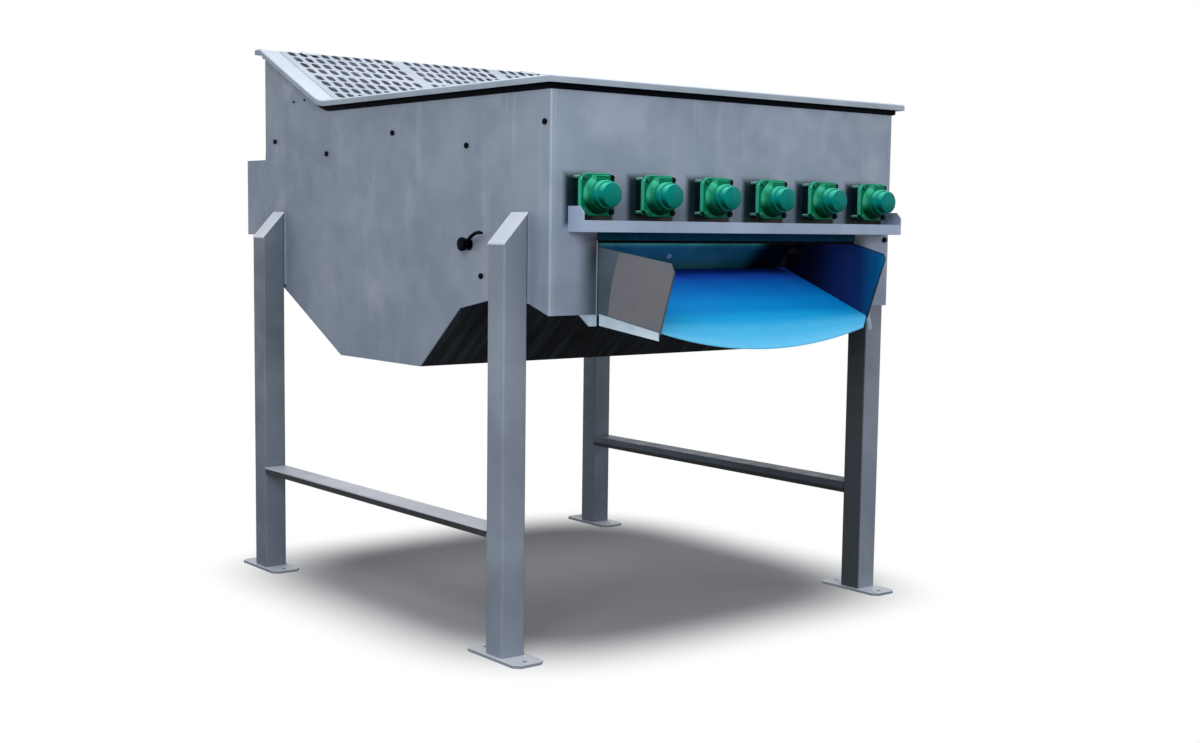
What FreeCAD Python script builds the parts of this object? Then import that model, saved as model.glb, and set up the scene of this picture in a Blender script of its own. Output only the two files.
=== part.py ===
"""Scroll grader for root crops: a legged steel box with six driven scrolls over a hopper and a chute.

The origin is on the floor, midway along the machine's overall length and width.
+X is across the machine, +Y runs from the motors at the front to the bearings at the rear, +Z is up.
Distances along the machine are counted from the outer face of the front wall, in millimetres.
"""
import FreeCAD, Part
import math
import os
import re

import Sketcher

SIZE_ROWS = [
    ("width", 1720, "over the outer faces of the two side plates"),
    ("depth", 2095, "outer face of the front wall to outer face of the rear wall"),
    ("plate", 6, "side plates, walls and hopper slopes"),
    ("sheet", 4, "folded sheet: rims, tray, chute"),
    ("fit_gap", 0.3, "clearance between a loose piece and its seat"),
    ("weld_gap", 0.5, "root gap of the seam welds between plates at an angle"),
    ("rim_top", 2015, "top of the level rim"),
    ("rim_overhang", 33, "rim outside the plates"),
    ("rim_lip", 15, "height of the rim's folded lip"),
    ("rim_bend", 5, "outside radius of the rim's fold"),
    ("rim_inner", 27, "front rim inside the front wall's outer face"),
    ("rim_ledge", 75, "side rims inside the side plates' outer faces"),
    ("rim_rear_inner", 10, "rear rim in front of the rear wall's outer face"),
    ("slope_run", 528, "level length of the rim's sloping part"),
    ("rear_rise", 253, "rear rim above the level rim"),
    ("wall_low", 1212, "bottom edge of the front wall"),
    ("corner_return", 23, "side plate's flange folded round the front corner"),
    ("notch_front", 117, "start of the raised bottom edge"),
    ("notch_rear", 373, "end of the raised bottom edge"),
    ("notch_rise", 35, "how far that bottom edge is raised"),
    ("knee", 549, "where the side plate turns down to the hopper"),
    ("hopper_low", 976, "bottom edge of the hopper"),
    ("slot_start", 821, "front of the hopper's bottom slot"),
    ("rear_run", 662, "level length of the hopper's rear slope"),
    ("rear_low", 1321, "bottom edge of the rear wall"),
    ("panel_width", 198, "rear side panel, front to rear"),
    ("opening_side", 206, "chute opening inside the side plates' outer faces"),
    ("opening_top", 1470, "top of the chute opening"),
    ("scroll_count", 6, "scrolls side by side"),
    ("scroll_side_gap", 35.75, "outermost flight to the side plate"),
    ("scroll_level", 1625, "height of the scroll axes"),
    ("scroll_radius", 120, "outside radius of the flight"),
    ("scroll_pitch", 240, "advance of the flight in one turn"),
    ("flight_plate", 10, "thickness of the flight"),
    ("flight_start", 420, "front end of the flight"),
    ("flight_back", 55, "rear end of the flight in front of the rear wall's outer face"),
    ("tube_radius", 30, "outside radius of the scroll's core tube"),
    ("tube_start", 24, "front end of the core tube"),
    ("stub_radius", 15, "radius of the front stub shaft"),
    ("stub_reach", 78, "stub shaft in front of the wall"),
    ("journal_radius", 25, "radius of the rear journal"),
    ("tube_back", 35, "rear end of the core tube in front of the same face"),
    ("running_gap", 0.05, "radial running clearance of shafts and pins"),
    ("wall_hole_radius", 30, "holes in the front wall for the stub shafts"),
    ("rear_hole_radius", 32, "holes in the rear wall for the journals"),
    ("seal_radius", 45, "half the size of a shaft seal's housing across flats"),
    ("seal_width", 10, "width of a shaft seal"),
    ("block_size", 100, "square block between the wall and a motor's flange"),
    ("bearing_size", 130, "square flange of a rear bearing"),
    ("bearing_flange", 15, "thickness of the bearing flange"),
    ("bearing_boss_radius", 44, "half the bearing boss across flats"),
    ("bearing_boss", 24, "height of the bearing boss"),
    ("guard_depth", 180, "bearing guard behind the rear wall"),
    ("guard_low", 1463, "bottom of the bearing guard"),
    ("guard_high", 1792, "top of the bearing guard"),
    ("guard_sheet", 3, "sheet of the bearing guard"),
    ("guard_flange", 28, "bolting flange of the bearing guard"),
    ("spacer_length", 35, "standoff between wall and motor flange"),
    ("spacer_radius", 8.5, "half the standoff's size across flats"),
    ("spacer_offset", 58, "standoffs from the motor axis, across and up"),
    ("motor_square", 146, "motor flange, across flats"),
    ("motor_corner", 22, "chamfer of the flange's corners"),
    ("motor_flange", 20, "thickness of the motor flange"),
    ("bell_base", 66, "radius of the motor's bell at the flange"),
    ("bell_neck", 53, "radius of the motor's bell at its front"),
    ("bell_length", 30, "length of the motor's bell"),
    ("port_width", 62, "port pad on top of the motor"),
    ("port_height", 66, "top of the port pad above the motor axis"),
    ("cover_radius", 49, "half the motor's end cover across flats"),
    ("cover_length", 22, "length of the end cover's wide step"),
    ("cap_radius", 42, "half the end cover's nose across flats"),
    ("cap_length", 21, "length of the end cover's nose"),
    ("tray_left", 75, "motor tray's left end from the left side plate's outer face"),
    ("tray_right", 30, "motor tray's right end from the right side plate's outer face"),
    ("tray_depth", 88, "motor tray in front of the wall"),
    ("tray_low", 1498, "bottom of the motor tray"),
    ("tray_lip", 40, "height of the tray's front lip"),
    ("tray_end", 88, "height of the tray's end plates"),
    ("tray_corner", 22, "cut-off front corner of an end plate"),
    ("chute_side", 10, "inner face of a cheek inside the opening, at the front wall"),
    ("chute_taper", 0.361, "how much each cheek moves out per unit of depth"),
    ("chute_level", 1210, "top of the chute floor at the front wall"),
    ("chute_fall", 0.235, "fall of the chute floor per unit of depth"),
    ("chute_inner", 575, "inner end of the chute floor"),
    ("cheek_height", 240, "cheek above the chute floor"),
    ("chute_reach", 282, "foremost point of the left cheek in front of the wall"),
    ("cheek_foot", 233, "left cheek's bottom corner in front of the wall"),
    ("cheek_rise", 16, "left cheek's front corner above a line parallel to the floor"),
    ("cheek_nose", 32, "height of the chamfer at that corner"),
    ("right_reach", 248, "foremost point of the right cheek in front of the wall"),
    ("right_foot", 128, "right cheek's bottom corner in front of the wall"),
    ("right_rise", 38, "right cheek's front corner above a line parallel to the floor"),
    ("right_nose", 18, "height of the chamfer at that corner"),
    ("right_wall_rise", 19, "right cheek's top edge above the left one's, at the wall"),
    ("cheek_step", 430, "where the cheek drops to pass under the flap shaft"),
    ("cheek_step_level", 1415, "top of the cheek under the flap shaft"),
    ("liner", 4, "flexible sheet on the chute floor"),
    ("side_liner", 3, "flexible sheet on the cheeks"),
    ("liner_reach", 225, "sheet in front of the wall"),
    ("liner_sag", 68, "how far the sheet's lip hangs between its ends"),
    ("liner_corner", 470, "right end of the sheet's lip from the middle plane"),
    ("liner_droop", 12, "how far that end hangs below the floor's plane"),
    ("bar_lap", 4, "clamp bar's top edge above the chute floor"),
    ("bar_drop", 36, "clamp bar's bottom edge below the floor, at the wall"),
    ("bar_front_drop", 24, "clamp bar's bottom edge below the floor, at the cheek's foot"),
    ("bar_plate", 5, "thickness of the clamp bar"),
    ("gusset_width", 77, "bracket beside the cheek, across"),
    ("gusset_foot", 33, "lower edge of the bracket"),
    ("gusset_drop", 40, "bracket below the front wall"),
    ("tab_width", 26, "corner tab on the right clamp bar, across"),
    ("tab_rise", 32, "corner tab above the chute floor"),
    ("tab_drop", 54, "corner tab below the chute floor"),
    ("flap_shaft_at", 487, "flap shaft from the front wall"),
    ("flap_shaft_level", 1448, "height of the flap shaft"),
    ("flap_shaft_radius", 12.5, "radius of the flap shaft"),
    ("flap_side", 56, "end of the flap inside the side plate"),
    ("flap_reach", 101, "flap's lower edge behind its shaft"),
    ("flap_drop", 106, "flap's lower edge below its shaft"),
    ("flap_plate", 5, "thickness of the flap"),
    ("flap_hub_radius", 18, "radius of the flap's hub tube"),
    ("bush_radius", 22, "half a flap bush's flange across flats"),
    ("bush_neck", 16.5, "half a flap bush's neck across flats"),
    ("bush_flange", 10, "flap bush outside the plate"),
    ("hub_radius", 25, "half the lever's hub across flats"),
    ("hub_neck", 16, "half the lever's neck across flats"),
    ("hub_start", 10, "lever's neck off the side plate"),
    ("hub_length", 30, "length of the lever's hub"),
    ("arm_radius", 6.5, "half the lever's arm across flats"),
    ("arm_reach", 140, "lever's arm in front of the shaft"),
    ("arm_rise", 41, "end of the lever's arm above the shaft"),
    ("arm_bow", 16, "bow of the lever's arm"),
    ("leg_size", 100, "square tube of the legs"),
    ("leg_wall", 5, "wall of the leg tube"),
    ("leg_round", 8, "outside corner radius of the leg tube"),
    ("leg_pad", 8, "weld pad between leg and side plate"),
    ("leg_pad_low", 1250, "bottom of the weld pad"),
    ("leg_front", 165, "axis of the front legs"),
    ("leg_back", 135, "axis of the rear legs in front of the rear wall's outer face"),
    ("leg_top_inner", 1565, "top of the leg beside the side plate"),
    ("leg_top_outer", 1457, "top of the leg at its outer face"),
    ("cap_plate", 7, "leg cap, measured upright"),
    ("foot_width", 130, "foot plate, across"),
    ("foot_length", 320, "foot plate, along"),
    ("foot_plate", 10, "thickness of the foot plate"),
    ("foot_corner", 22, "cut corner of the foot plate"),
    ("anchor_offset", 120, "anchor holes from the leg axis"),
    ("anchor_radius", 9, "radius of an anchor hole"),
    ("brace_top", 454, "top of the side braces"),
    ("brace_height", 46, "height of the brace's upright leg"),
    ("brace_plate", 6, "thickness of the brace"),
    ("hood_sheet", 3, "perforated hood"),
    ("hood_side_gap", 62, "hood's edge from the side plate's outer face"),
    ("hood_low", 22, "hood's lower edge up the slope from its foot"),
    ("hood_high", 7, "hood's upper edge down the slope from its head"),
    ("hole_width", 32, "perforation, across"),
    ("hole_length", 46, "perforation, up the slope"),
    ("rail_back", 23, "rail behind the foot of the slope"),
    ("rail_height", 72, "height of the rail"),
    ("rail_foot", 40, "foot of the rail"),
    ("hinge_radius", 7, "outside radius of a hinge barrel"),
    ("hinge_pin", 4, "radius of a hinge pin"),
    ("hinge_gap", 1.5, "hinge barrels behind the rim's lip"),
    ("hinge_drop", 8, "hinge axis below the top of the rear rim"),
    ("hinge_length", 90, "length of one hinge barrel"),
    ("hinge_side", 260, "hinges inside the side plates' outer faces"),
    ("hinge_tab", 26, "leaf on the hood, down its slope"),
    ("hinge_lap", 5, "level part of the leaf in front of the slope's head"),
    ("bolt_flats", 18, "head of the body's bolts, across flats"),
    ("bolt_head", 8, "height of a bolt head"),
    ("screw_flats", 9, "head of a small screw, across flats"),
]
SIZES = {alias for alias, number, note in SIZE_ROWS}

# Places that follow from the sizes, written once and used by name.
PLACES = {
    "half": "width / 2",
    "inner": "half - plate",
    "opening_half": "half - opening_side",
    "chute_half": "opening_half - chute_side",
    "flap_half": "inner - flap_side",
    "hinge_spread": "half - hinge_side",
    "scroll_spacing": "2 * (inner - scroll_side_gap - scroll_radius) / (scroll_count - 1)",
    "notch_level": "wall_low + notch_rise",
    "slot_end": "depth - rear_run",
    "panel_seam": "depth - panel_width",
    "flight_end": "depth - flight_back",
    "journal_start": "depth - tube_back",
    "leg_rear": "depth - leg_back",
    "chute_front": "chute_reach + sheet * sin(taper_angle)",
    "front": "(chute_front - depth - guard_depth) / 2",
    "rear": "front + depth",
    "wall_top": "rim_top - sheet",
    "head": "depth - rim_rear_inner",
    "slope_start": "head - slope_run",
    "slope_length": "hypot(slope_run; rear_rise)",
    "slope": "rear_rise / slope_run",
    "rail_at": "slope_start + rail_back",
    "slope_angle": "atan(slope)",
    "rear_fall": "(rear_low - hopper_low) / (depth - slot_end)",
    "knee_fall": "(wall_low - hopper_low) / (slot_start - knee)",
    "taper_angle": "atan(chute_taper)",
    "fall_angle": "atan(chute_fall)",
    "chute_join": "(hopper_low + slot_start * knee_fall - chute_level + sheet * 1.1)"
                  " / (knee_fall + chute_fall)",
    "leg_axis": "half + leg_pad + leg_size / 2",
    "flange_face": "spacer_length + motor_flange",
    "bell_face": "flange_face + bell_length",
    "cover_face": "bell_face + cover_length",
    "cheek_end": "(inner - weld_gap - chute_half - sheet / cos(taper_angle)) / chute_taper - sheet",
    "slope_top": "rim_top - sheet / cos(slope_angle)",
    "hinge_axis": "depth + rim_overhang + hinge_gap + hinge_radius",
    "hinge_level": "rim_top + rear_rise - hinge_drop",
}

# The hood's perforations share out its width and slope: the first column and the columns of each field,
# the rows of one group, then the steps between columns, rows and groups as parts of the width and slope.
HOLE_STARTS = (0.065, 0.41, 0.7256)
HOLE_COUNTS = (10, 9, 7)
HOLE_ROWS = 4
HOLE_STEP = 0.032
HOLE_RISE = 0.1127
HOLE_FIRST = 0.14
HOLE_GROUP = 0.473
ARM_FACETS = 5
FACETS_PER_TURN = 12
SIDE_BOLTS = [("corner_return + bolt_flats / 2", "rim_top - 147"), ("(depth - 59) / 2", "rim_top - 147"),
              ("depth - 95", "rim_top - 147"), ("505", "rim_top - 212"), ("depth - 554", "rim_top - 212"),
              ("408", "wall_low + 123")]
SIDE_SCREWS = [("depth - 362", "rim_top + 18"), ("depth - 267", "rim_top + 15")]
GUARD_BOLT_COLUMNS = (-0.93, -0.56, -0.19, 0.19, 0.56, 0.93)

doc = FreeCAD.newDocument("ScrollGrader")
cells = doc.addObject("Spreadsheet::Sheet", "Sizes")
for row, (alias, number, note) in enumerate(SIZE_ROWS, start=1):
    cells.set(f"A{row}", alias)
    cells.set(f"B{row}", str(number))
    cells.set(f"C{row}", note)
    cells.setAlias(f"B{row}", alias)
doc.recompute()

parts = []


def expand(text):
    """The expression with every plain size name written as its sheet cell."""
    def swap(match):
        word = match.group(0)
        if word in PLACES:
            return "(" + expand(PLACES[word]) + ")"
        return "Sizes." + word if word in SIZES else word
    return re.sub(r"[A-Za-z_]\w*", swap, str(text))


def value(text):
    """The number that an expression of the sizes gives now."""
    result = cells.evalExpression(expand(text))
    return float(getattr(result, "Value", result))


def bind(item, **expressions):
    """Ties properties of an object to expressions of the sizes."""
    for name, text in expressions.items():
        item.setExpression(name, expand(text))


def place(item, x="0", y="0", z="0", axis=None, turn=None):
    """Ties an object's place, and its turn about one axis, to the sizes."""
    if axis is not None:
        item.Placement = FreeCAD.Placement(FreeCAD.Vector(), FreeCAD.Rotation(FreeCAD.Vector(axis), value(turn)))
        item.setExpression("Placement.Rotation.Angle", expand(turn))
    for letter, text in zip("xyz", (x, y, z)):
        item.setExpression("Placement.Base." + letter, expand(text))


def keep(item, label):
    """Marks an object as a sub-part that is written under this name."""
    item.Label = label
    parts.append(item)
    return item


def body(name):
    return doc.addObject("PartDesign::Body", name)


def outline(owner, plane, at, loops):
    """Closed outlines on an origin plane: corner lists, or (centre, radius) for a circle."""
    drawing = owner.newObject("Sketcher::SketchObject", "Outline")
    support = next(item for item in owner.Origin.OriginFeatures if item.Role == plane + "_Plane")
    drawing.AttachmentSupport = [(support, "")]
    drawing.MapMode = "FlatFace"
    side = "-" if plane == "XZ" else ""
    drawing.setExpression("AttachmentOffset.Base.z", expand(f"{side}({at})"))
    for loop in loops:
        if isinstance(loop, tuple):
            (u, v), radius = loop
            ring = drawing.addGeometry(Part.Circle(FreeCAD.Vector(value(u), value(v)), FreeCAD.Vector(0, 0, 1),
                                                   value(radius)))
            hold(drawing, ring, 3, u, v)
            number = drawing.addConstraint(Sketcher.Constraint("Radius", ring, value(radius)))
            drawing.setExpression(f"Constraints[{number}]", expand(radius))
            continue
        corners = [FreeCAD.Vector(value(u), value(v)) for u, v in loop]
        first = drawing.GeometryCount
        for index, corner in enumerate(corners):
            drawing.addGeometry(Part.LineSegment(corner, corners[(index + 1) % len(corners)]))
        for index, (u, v) in enumerate(loop):
            following = (index + 1) % len(corners)
            drawing.addConstraint(Sketcher.Constraint("Coincident", first + index, 2, first + following, 1))
            hold(drawing, first + index, 1, u, v)
    return drawing


def hold(drawing, geometry, point, u, v):
    """Fixes a sketch point by its two distances from the sketch's origin."""
    for kind, text in (("DistanceX", u), ("DistanceY", v)):
        number = drawing.addConstraint(Sketcher.Constraint(kind, -1, 1, geometry, point, value(text)))
        drawing.setExpression(f"Constraints[{number}]", expand(text))


def polygon(flats, sides=6, u="0", v="0"):
    """Corners of a regular polygon from its size across flats and its centre."""
    radius = f"({flats}) / (2 * cos({180 / sides}))"
    angles = [360 / sides * (side + 0.5) for side in range(sides)]
    return [(f"{u} + {radius} * cos({angle})", f"{v} + {radius} * sin({angle})") for angle in angles]


def pad(owner, plane, at, loops, length):
    """A plate on an origin plane, grown towards +X, +Y or +Z."""
    feature = owner.newObject("PartDesign::Pad", "Plate")
    feature.Profile = outline(owner, plane, at, loops)
    feature.Reversed = plane == "XZ"
    bind(feature, Length=length)
    return feature


def cut(owner, plane, at, loops):
    """A cut right through the body, both ways from the outline's plane."""
    doc.recompute()
    before = owner.Shape.Volume
    feature = owner.newObject("PartDesign::Pocket", "Cut")
    feature.Profile = outline(owner, plane, at, loops)
    feature.SideType = "Symmetric"
    feature.Type = "ThroughAll"
    doc.recompute()
    if not owner.Shape.Volume < before:
        raise RuntimeError(f"a cut in {owner.Name} removes nothing")
    return feature


def turned(owner, points):
    """A full turn about the body's own Y axis of a profile of (radius, distance) corners."""
    feature = owner.newObject("PartDesign::Revolution", "Turned")
    feature.Profile = outline(owner, "XY", "0", [points])
    axis = next(item for item in owner.Origin.OriginFeatures if item.Role == "Y_Axis")
    feature.ReferenceAxis = (axis, [""])
    return feature


def box(name, x, y, z, dx, dy, dz):
    item = doc.addObject("Part::Box", name)
    bind(item, Length=dx, Width=dy, Height=dz)
    place(item, x, y, z)
    return item


def rod(name, x, y, z, radius, length):
    """A cylinder along X from its left end."""
    item = doc.addObject("Part::Cylinder", name)
    bind(item, Radius=radius, Height=length)
    item.Placement = FreeCAD.Placement(FreeCAD.Vector(), FreeCAD.Rotation(FreeCAD.Vector(0, 1, 0), 90))
    for letter, text in zip("xyz", (x, y, z)):
        item.setExpression("Placement.Base." + letter, expand(text))
    return item


def fuse(name, *items):
    item = doc.addObject("Part::MultiFuse", name)
    item.Shapes = list(items)
    return item


def subtract(name, base, tool):
    item = doc.addObject("Part::Cut", name)
    item.Base = base
    item.Tool = tool
    return item


def mirrored(name, source):
    """The piece on the other side of the machine's middle plane."""
    item = doc.addObject("Part::Mirroring", name)
    item.Source = source
    item.Normal = (1, 0, 0)
    return item


def group(label, items):
    """Like pieces that share one node, each still a solid of its own."""
    item = doc.addObject("Part::Compound", label)
    item.Links = items
    return keep(item, label)


def copies(label, template, spots):
    """Copies of one finished shape at (x, y, z, turn about Y) spots, as one sub-part."""
    doc.recompute()
    shapes = []
    for x, y, z, turn in spots:
        shape = template.Shape.copy()
        spin = FreeCAD.Rotation(FreeCAD.Vector(0, 1, 0), turn)
        shape.Placement = FreeCAD.Placement(FreeCAD.Vector(value(x), value(y), value(z)), spin)
        shapes.append(shape)
    item = doc.addObject("Part::Feature", label)
    item.Shape = shapes[0] if len(shapes) == 1 else Part.makeCompound(shapes)
    return keep(item, label)


def along(distance):
    """A place along the machine, counted from the front wall."""
    return f"front + ({distance})"


def both_sides(name, source):
    keep(source, "left_" + name)
    keep(mirrored("Right", source), "right_" + name)


def make_side_plates():
    """Side plate with its hopper corner and the flange folded round the front corner."""
    plate = body("SidePlate")
    seam_low = "hopper_low + (panel_seam - slot_end) * rear_fall"
    seam_high = "slope_top + (panel_seam - slope_start) * slope"
    edge = [(along(0), "wall_top"), (along(0), "wall_low"),
            (along("notch_front"), "notch_level"), (along("notch_rear"), "notch_level"),
            (along("knee"), "wall_low"), (along("slot_start"), "hopper_low"),
            (along("slot_end"), "hopper_low"), (along("panel_seam"), seam_low),
            (along("panel_seam"), seam_high), (along("slope_start"), "slope_top")]
    pad(plate, "YZ", "-half", [edge], "plate")
    corner = [(along(0), "wall_low"), (along("plate"), "wall_low"),
              (along("plate"), "wall_top"), (along(0), "wall_top")]
    pad(plate, "YZ", "-half", [corner], "corner_return")
    shaft_hole = ((along("flap_shaft_at"), "flap_shaft_level"), "bush_radius - bush_flange / 2 + fit_gap")
    cut(plate, "YZ", "-half", [shaft_hole])
    both_sides("side_plate", plate)

    panel = body("RearPanel")
    edge = [(along("panel_seam"), seam_low), (along("depth"), "rear_low"),
            (along("depth"), "wall_top + rear_rise"), (along("head"), "slope_top + rear_rise"),
            (along("panel_seam"), seam_high)]
    pad(panel, "YZ", "-half", [edge], "plate")
    both_sides("rear_panel", panel)


def scroll_x(index):
    """Place across the machine of one scroll's axis."""
    return f"({index} - (scroll_count - 1) / 2) * scroll_spacing"


def scroll_indexes():
    return range(int(value("scroll_count")))


def make_walls():
    """Front wall with the chute opening cut up from its edge, and the taller rear wall."""
    front_wall = body("FrontWall")
    side = "half - corner_return"
    edge = [(f"-({side})", "wall_low"), ("-opening_half", "wall_low"), ("-opening_half", "opening_top"),
            ("opening_half", "opening_top"), ("opening_half", "wall_low"), (side, "wall_low"),
            (side, "wall_top"), (f"-({side})", "wall_top")]
    holes = [polygon("2 * wall_hole_radius", 8, scroll_x(index), "scroll_level") for index in scroll_indexes()]
    pad(front_wall, "XZ", along(0), [edge] + holes, "plate")
    keep(front_wall, "front_wall")

    rear_wall = body("RearWall")
    edge = [("-inner", "rear_low"), ("inner", "rear_low"),
            ("inner", "wall_top + rear_rise"), ("-inner", "wall_top + rear_rise")]
    holes = [polygon("2 * rear_hole_radius", 8, scroll_x(index), "scroll_level") for index in scroll_indexes()]
    pad(rear_wall, "XZ", "rear - plate", [edge] + holes, "plate")
    keep(rear_wall, "rear_wall")


def make_rims():
    """Rim of folded sheet: level over the front part, rising to the rear, mitred at the front."""
    profile = [("-rim_overhang", "rim_top - rim_lip"), ("-rim_overhang", "rim_top - rim_bend"),
               ("-rim_overhang + 0.3 * rim_bend", "rim_top - 0.3 * rim_bend"),
               ("-rim_overhang + rim_bend", "rim_top"), ("rim_inner", "rim_top"),
               ("rim_inner", "rim_top - sheet"), ("-rim_overhang + sheet", "rim_top - sheet"),
               ("-rim_overhang + sheet", "rim_top - rim_lip")]
    front_rim = body("FrontRim")
    pad(front_rim, "YZ", "-half - rim_overhang",
        [[(along(y), z) for y, z in profile]], "width + 2 * rim_overhang")
    wide = "half + rim_overhang"
    deep = "rim_overhang + rim_inner"
    mitre_left = [(f"-({wide})", along("-rim_overhang")), (f"-({wide}) + {deep}", along("rim_inner")),
                  (f"-({wide})", along("rim_inner"))]
    mitre_right = [(f"{wide}", along("-rim_overhang")), (f"{wide} - ({deep})", along("rim_inner")),
                   (f"{wide}", along("rim_inner"))]
    cut(front_rim, "XY", "rim_top", [mitre_left])
    cut(front_rim, "XY", "rim_top", [mitre_right])
    keep(front_rim, "rim_front")

    side_rim = body("SideRim")
    section = [(f"-half + ({x.replace('rim_inner', 'rim_ledge')})", z) for x, z in profile]
    section_drawing = outline(side_rim, "XZ", along("-rim_overhang"), [section])
    path = side_rim.newObject("Sketcher::SketchObject", "Path")
    support = next(item for item in side_rim.Origin.OriginFeatures if item.Role == "YZ_Plane")
    path.AttachmentSupport = [(support, "")]
    path.MapMode = "FlatFace"
    path.setExpression("AttachmentOffset.Base.z", expand("-half"))
    stations = [(along("-rim_overhang"), "rim_top"), (along("slope_start"), "rim_top"),
                (along("head"), "rim_top + rear_rise")]
    points = [FreeCAD.Vector(value(y), value(z)) for y, z in stations]
    for index in range(len(points) - 1):
        path.addGeometry(Part.LineSegment(points[index], points[index + 1]))
        hold(path, index, 1, *stations[index])
    path.addConstraint(Sketcher.Constraint("Coincident", 0, 2, 1, 1))
    hold(path, 1, 2, *stations[-1])
    sweep = side_rim.newObject("PartDesign::AdditivePipe", "Folded")
    sweep.Profile = section_drawing
    sweep.Spine = (path, [])
    sweep.Transition = "Right corner"
    far = "rim_ledge + 2 * rim_overhang"
    mitre = [(f"-({wide})", along("-rim_overhang")), (f"-({wide})", along("-2 * rim_overhang")),
             (f"-({wide}) + {far}", along("-2 * rim_overhang")),
             (f"-({wide}) + {far}", along(f"-rim_overhang + {far}"))]
    cut(side_rim, "XY", "rim_top", [mitre])
    trim = [(along("head"), "rim_top"), (along("depth + rear_rise"), "rim_top"),
            (along("depth + rear_rise"), "rim_top + 2 * rear_rise"), (along("head"), "rim_top + 2 * rear_rise")]
    cut(side_rim, "YZ", "-half", [trim])
    keep(side_rim, "rim_left")
    keep(mirrored("RightRim", side_rim), "rim_right")

    rear_rim = body("RearRim")
    top = "wall_top + rear_rise"
    flange = [(f"-({wide})", along("head")), (wide, along("head")),
              (wide, "rear + rim_overhang"), (f"-({wide})", "rear + rim_overhang")]
    pad(rear_rim, "XY", top, [flange], "sheet")
    lip = [(f"-({wide})", along("head")), (f"-({wide}) + sheet", along("head")),
           (f"-({wide}) + sheet", "rear + rim_overhang - sheet"),
           (f"{wide} - sheet", "rear + rim_overhang - sheet"), (f"{wide} - sheet", along("head")),
           (wide, along("head")), (wide, "rear + rim_overhang"), (f"-({wide})", "rear + rim_overhang")]
    pad(rear_rim, "XY", f"{top} + sheet - rim_lip", [lip], "rim_lip - sheet")
    keep(rear_rim, "rim_rear")


def make_hopper():
    """Two slopes between the side plates that leave a slot open at the bottom."""
    slope = body("FrontSlope")
    join_level = "hopper_low + (slot_start - chute_join) * knee_fall"
    run = "plate / sin(atan(knee_fall))"
    section = [(along("slot_start"), "hopper_low"), (along(f"slot_start + {run}"), "hopper_low"),
               (along(f"chute_join + {run}"), join_level), (along("chute_join"), join_level)]
    pad(slope, "YZ", "-inner", [section], "2 * inner")
    keep(slope, "hopper_front_slope")

    slope = body("RearSlope")
    top = "rear_low - plate * rear_fall"
    run = "plate / sin(atan(rear_fall))"
    section = [(along("slot_end"), "hopper_low"), (along("depth - plate"), top),
               (along(f"depth - plate - {run}"), top), (along(f"slot_end - {run}"), "hopper_low")]
    pad(slope, "YZ", "-inner", [section], "2 * inner")
    keep(slope, "hopper_rear_slope")


def stitched(name, rings):
    """A solid skinned over flat closed rings of equally many points, in flat three-cornered facets."""
    faces = [Part.Face(Part.makePolygon(end + end[:1])) for end in (rings[0], rings[-1])]
    for near, far in zip(rings, rings[1:]):
        for side in range(len(near)):
            following = (side + 1) % len(near)
            for corners in ((near[side], near[following], far[following]),
                            (near[side], far[following], far[side])):
                faces.append(Part.Face(Part.makePolygon(list(corners) + [corners[0]])))
    solid = Part.makeSolid(Part.makeShell(faces))
    if solid.Volume < 0:
        solid.reverse()
    item = doc.addObject("Part::Feature", name)
    item.Shape = solid
    return item


def helical_flight():
    """Helical flight round the core tube: its four-cornered section climbs by the pitch in every turn.

    The section runs from the tube to the rim and is a plate thick. A step of the climb is a share
    of a turn, and the inner corners stay on or outside the tube between the steps.
    """
    climb = value("flight_end - flight_start - flight_plate")
    steps = round(climb / value("scroll_pitch") * FACETS_PER_TURN)
    inner = value("tube_radius") / math.cos(math.pi / FACETS_PER_TURN)
    outer = value("scroll_radius")
    thickness = value("flight_plate")
    section = ((inner, 0), (outer, 0), (outer, thickness), (inner, thickness))
    rings = []
    for step in range(steps + 1):
        angle = 2 * math.pi * step / FACETS_PER_TURN
        base = value("flight_start") + climb * step / steps
        rings.append([FreeCAD.Vector(radius * math.sin(angle), base + shift, radius * math.cos(angle))
                      for radius, shift in section])
    return stitched("Flight", rings)


def make_scrolls():
    """Core tube with a stub, a journal and a helical flight, one per motor."""
    scroll = body("Scroll")
    turned(scroll, [("0", "-stub_reach"), ("stub_radius", "-stub_reach"), ("stub_radius", "tube_start"),
                    ("tube_radius", "tube_start"), ("tube_radius", "journal_start"),
                    ("journal_radius", "journal_start"),
                    ("journal_radius", "depth + bearing_flange + bearing_boss + plate"),
                    ("0", "depth + bearing_flange + bearing_boss + plate")])
    flight = helical_flight()
    doc.recompute()
    welded = doc.addObject("Part::Compound", "WeldedScroll")
    welded.Links = [scroll, flight]
    for index in scroll_indexes():
        copies(f"scroll_{index + 1}", welded, [(scroll_x(index), along(0), "scroll_level", 0)])

    seal = body("Seal")
    stub_hole = polygon("2 * (stub_radius + running_gap)", 8)
    pad(seal, "XZ", "plate", [polygon("2 * seal_radius", 8), stub_hole], "seal_width")
    seats = [(scroll_x(index), along(0), "scroll_level", 0) for index in scroll_indexes()]
    copies("shaft_seals", seal, seats)

    block = body("Block")
    pad(block, "XZ", "-spacer_length", [polygon("block_size", 4), stub_hole], "spacer_length")
    copies("motor_blocks", block, seats)

    bearing = body("Bearing")
    bore = (("0", "0"), "journal_radius + running_gap")
    pad(bearing, "XZ", "0", [polygon("bearing_size", 4)], "bearing_flange")
    pad(bearing, "XZ", "bearing_flange", [polygon("2 * bearing_boss_radius", 8)], "bearing_boss")
    cut(bearing, "XZ", "0", [bore])
    copies("rear_bearings", bearing, [(scroll_x(index), "rear", "scroll_level", 0) for index in scroll_indexes()])


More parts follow.
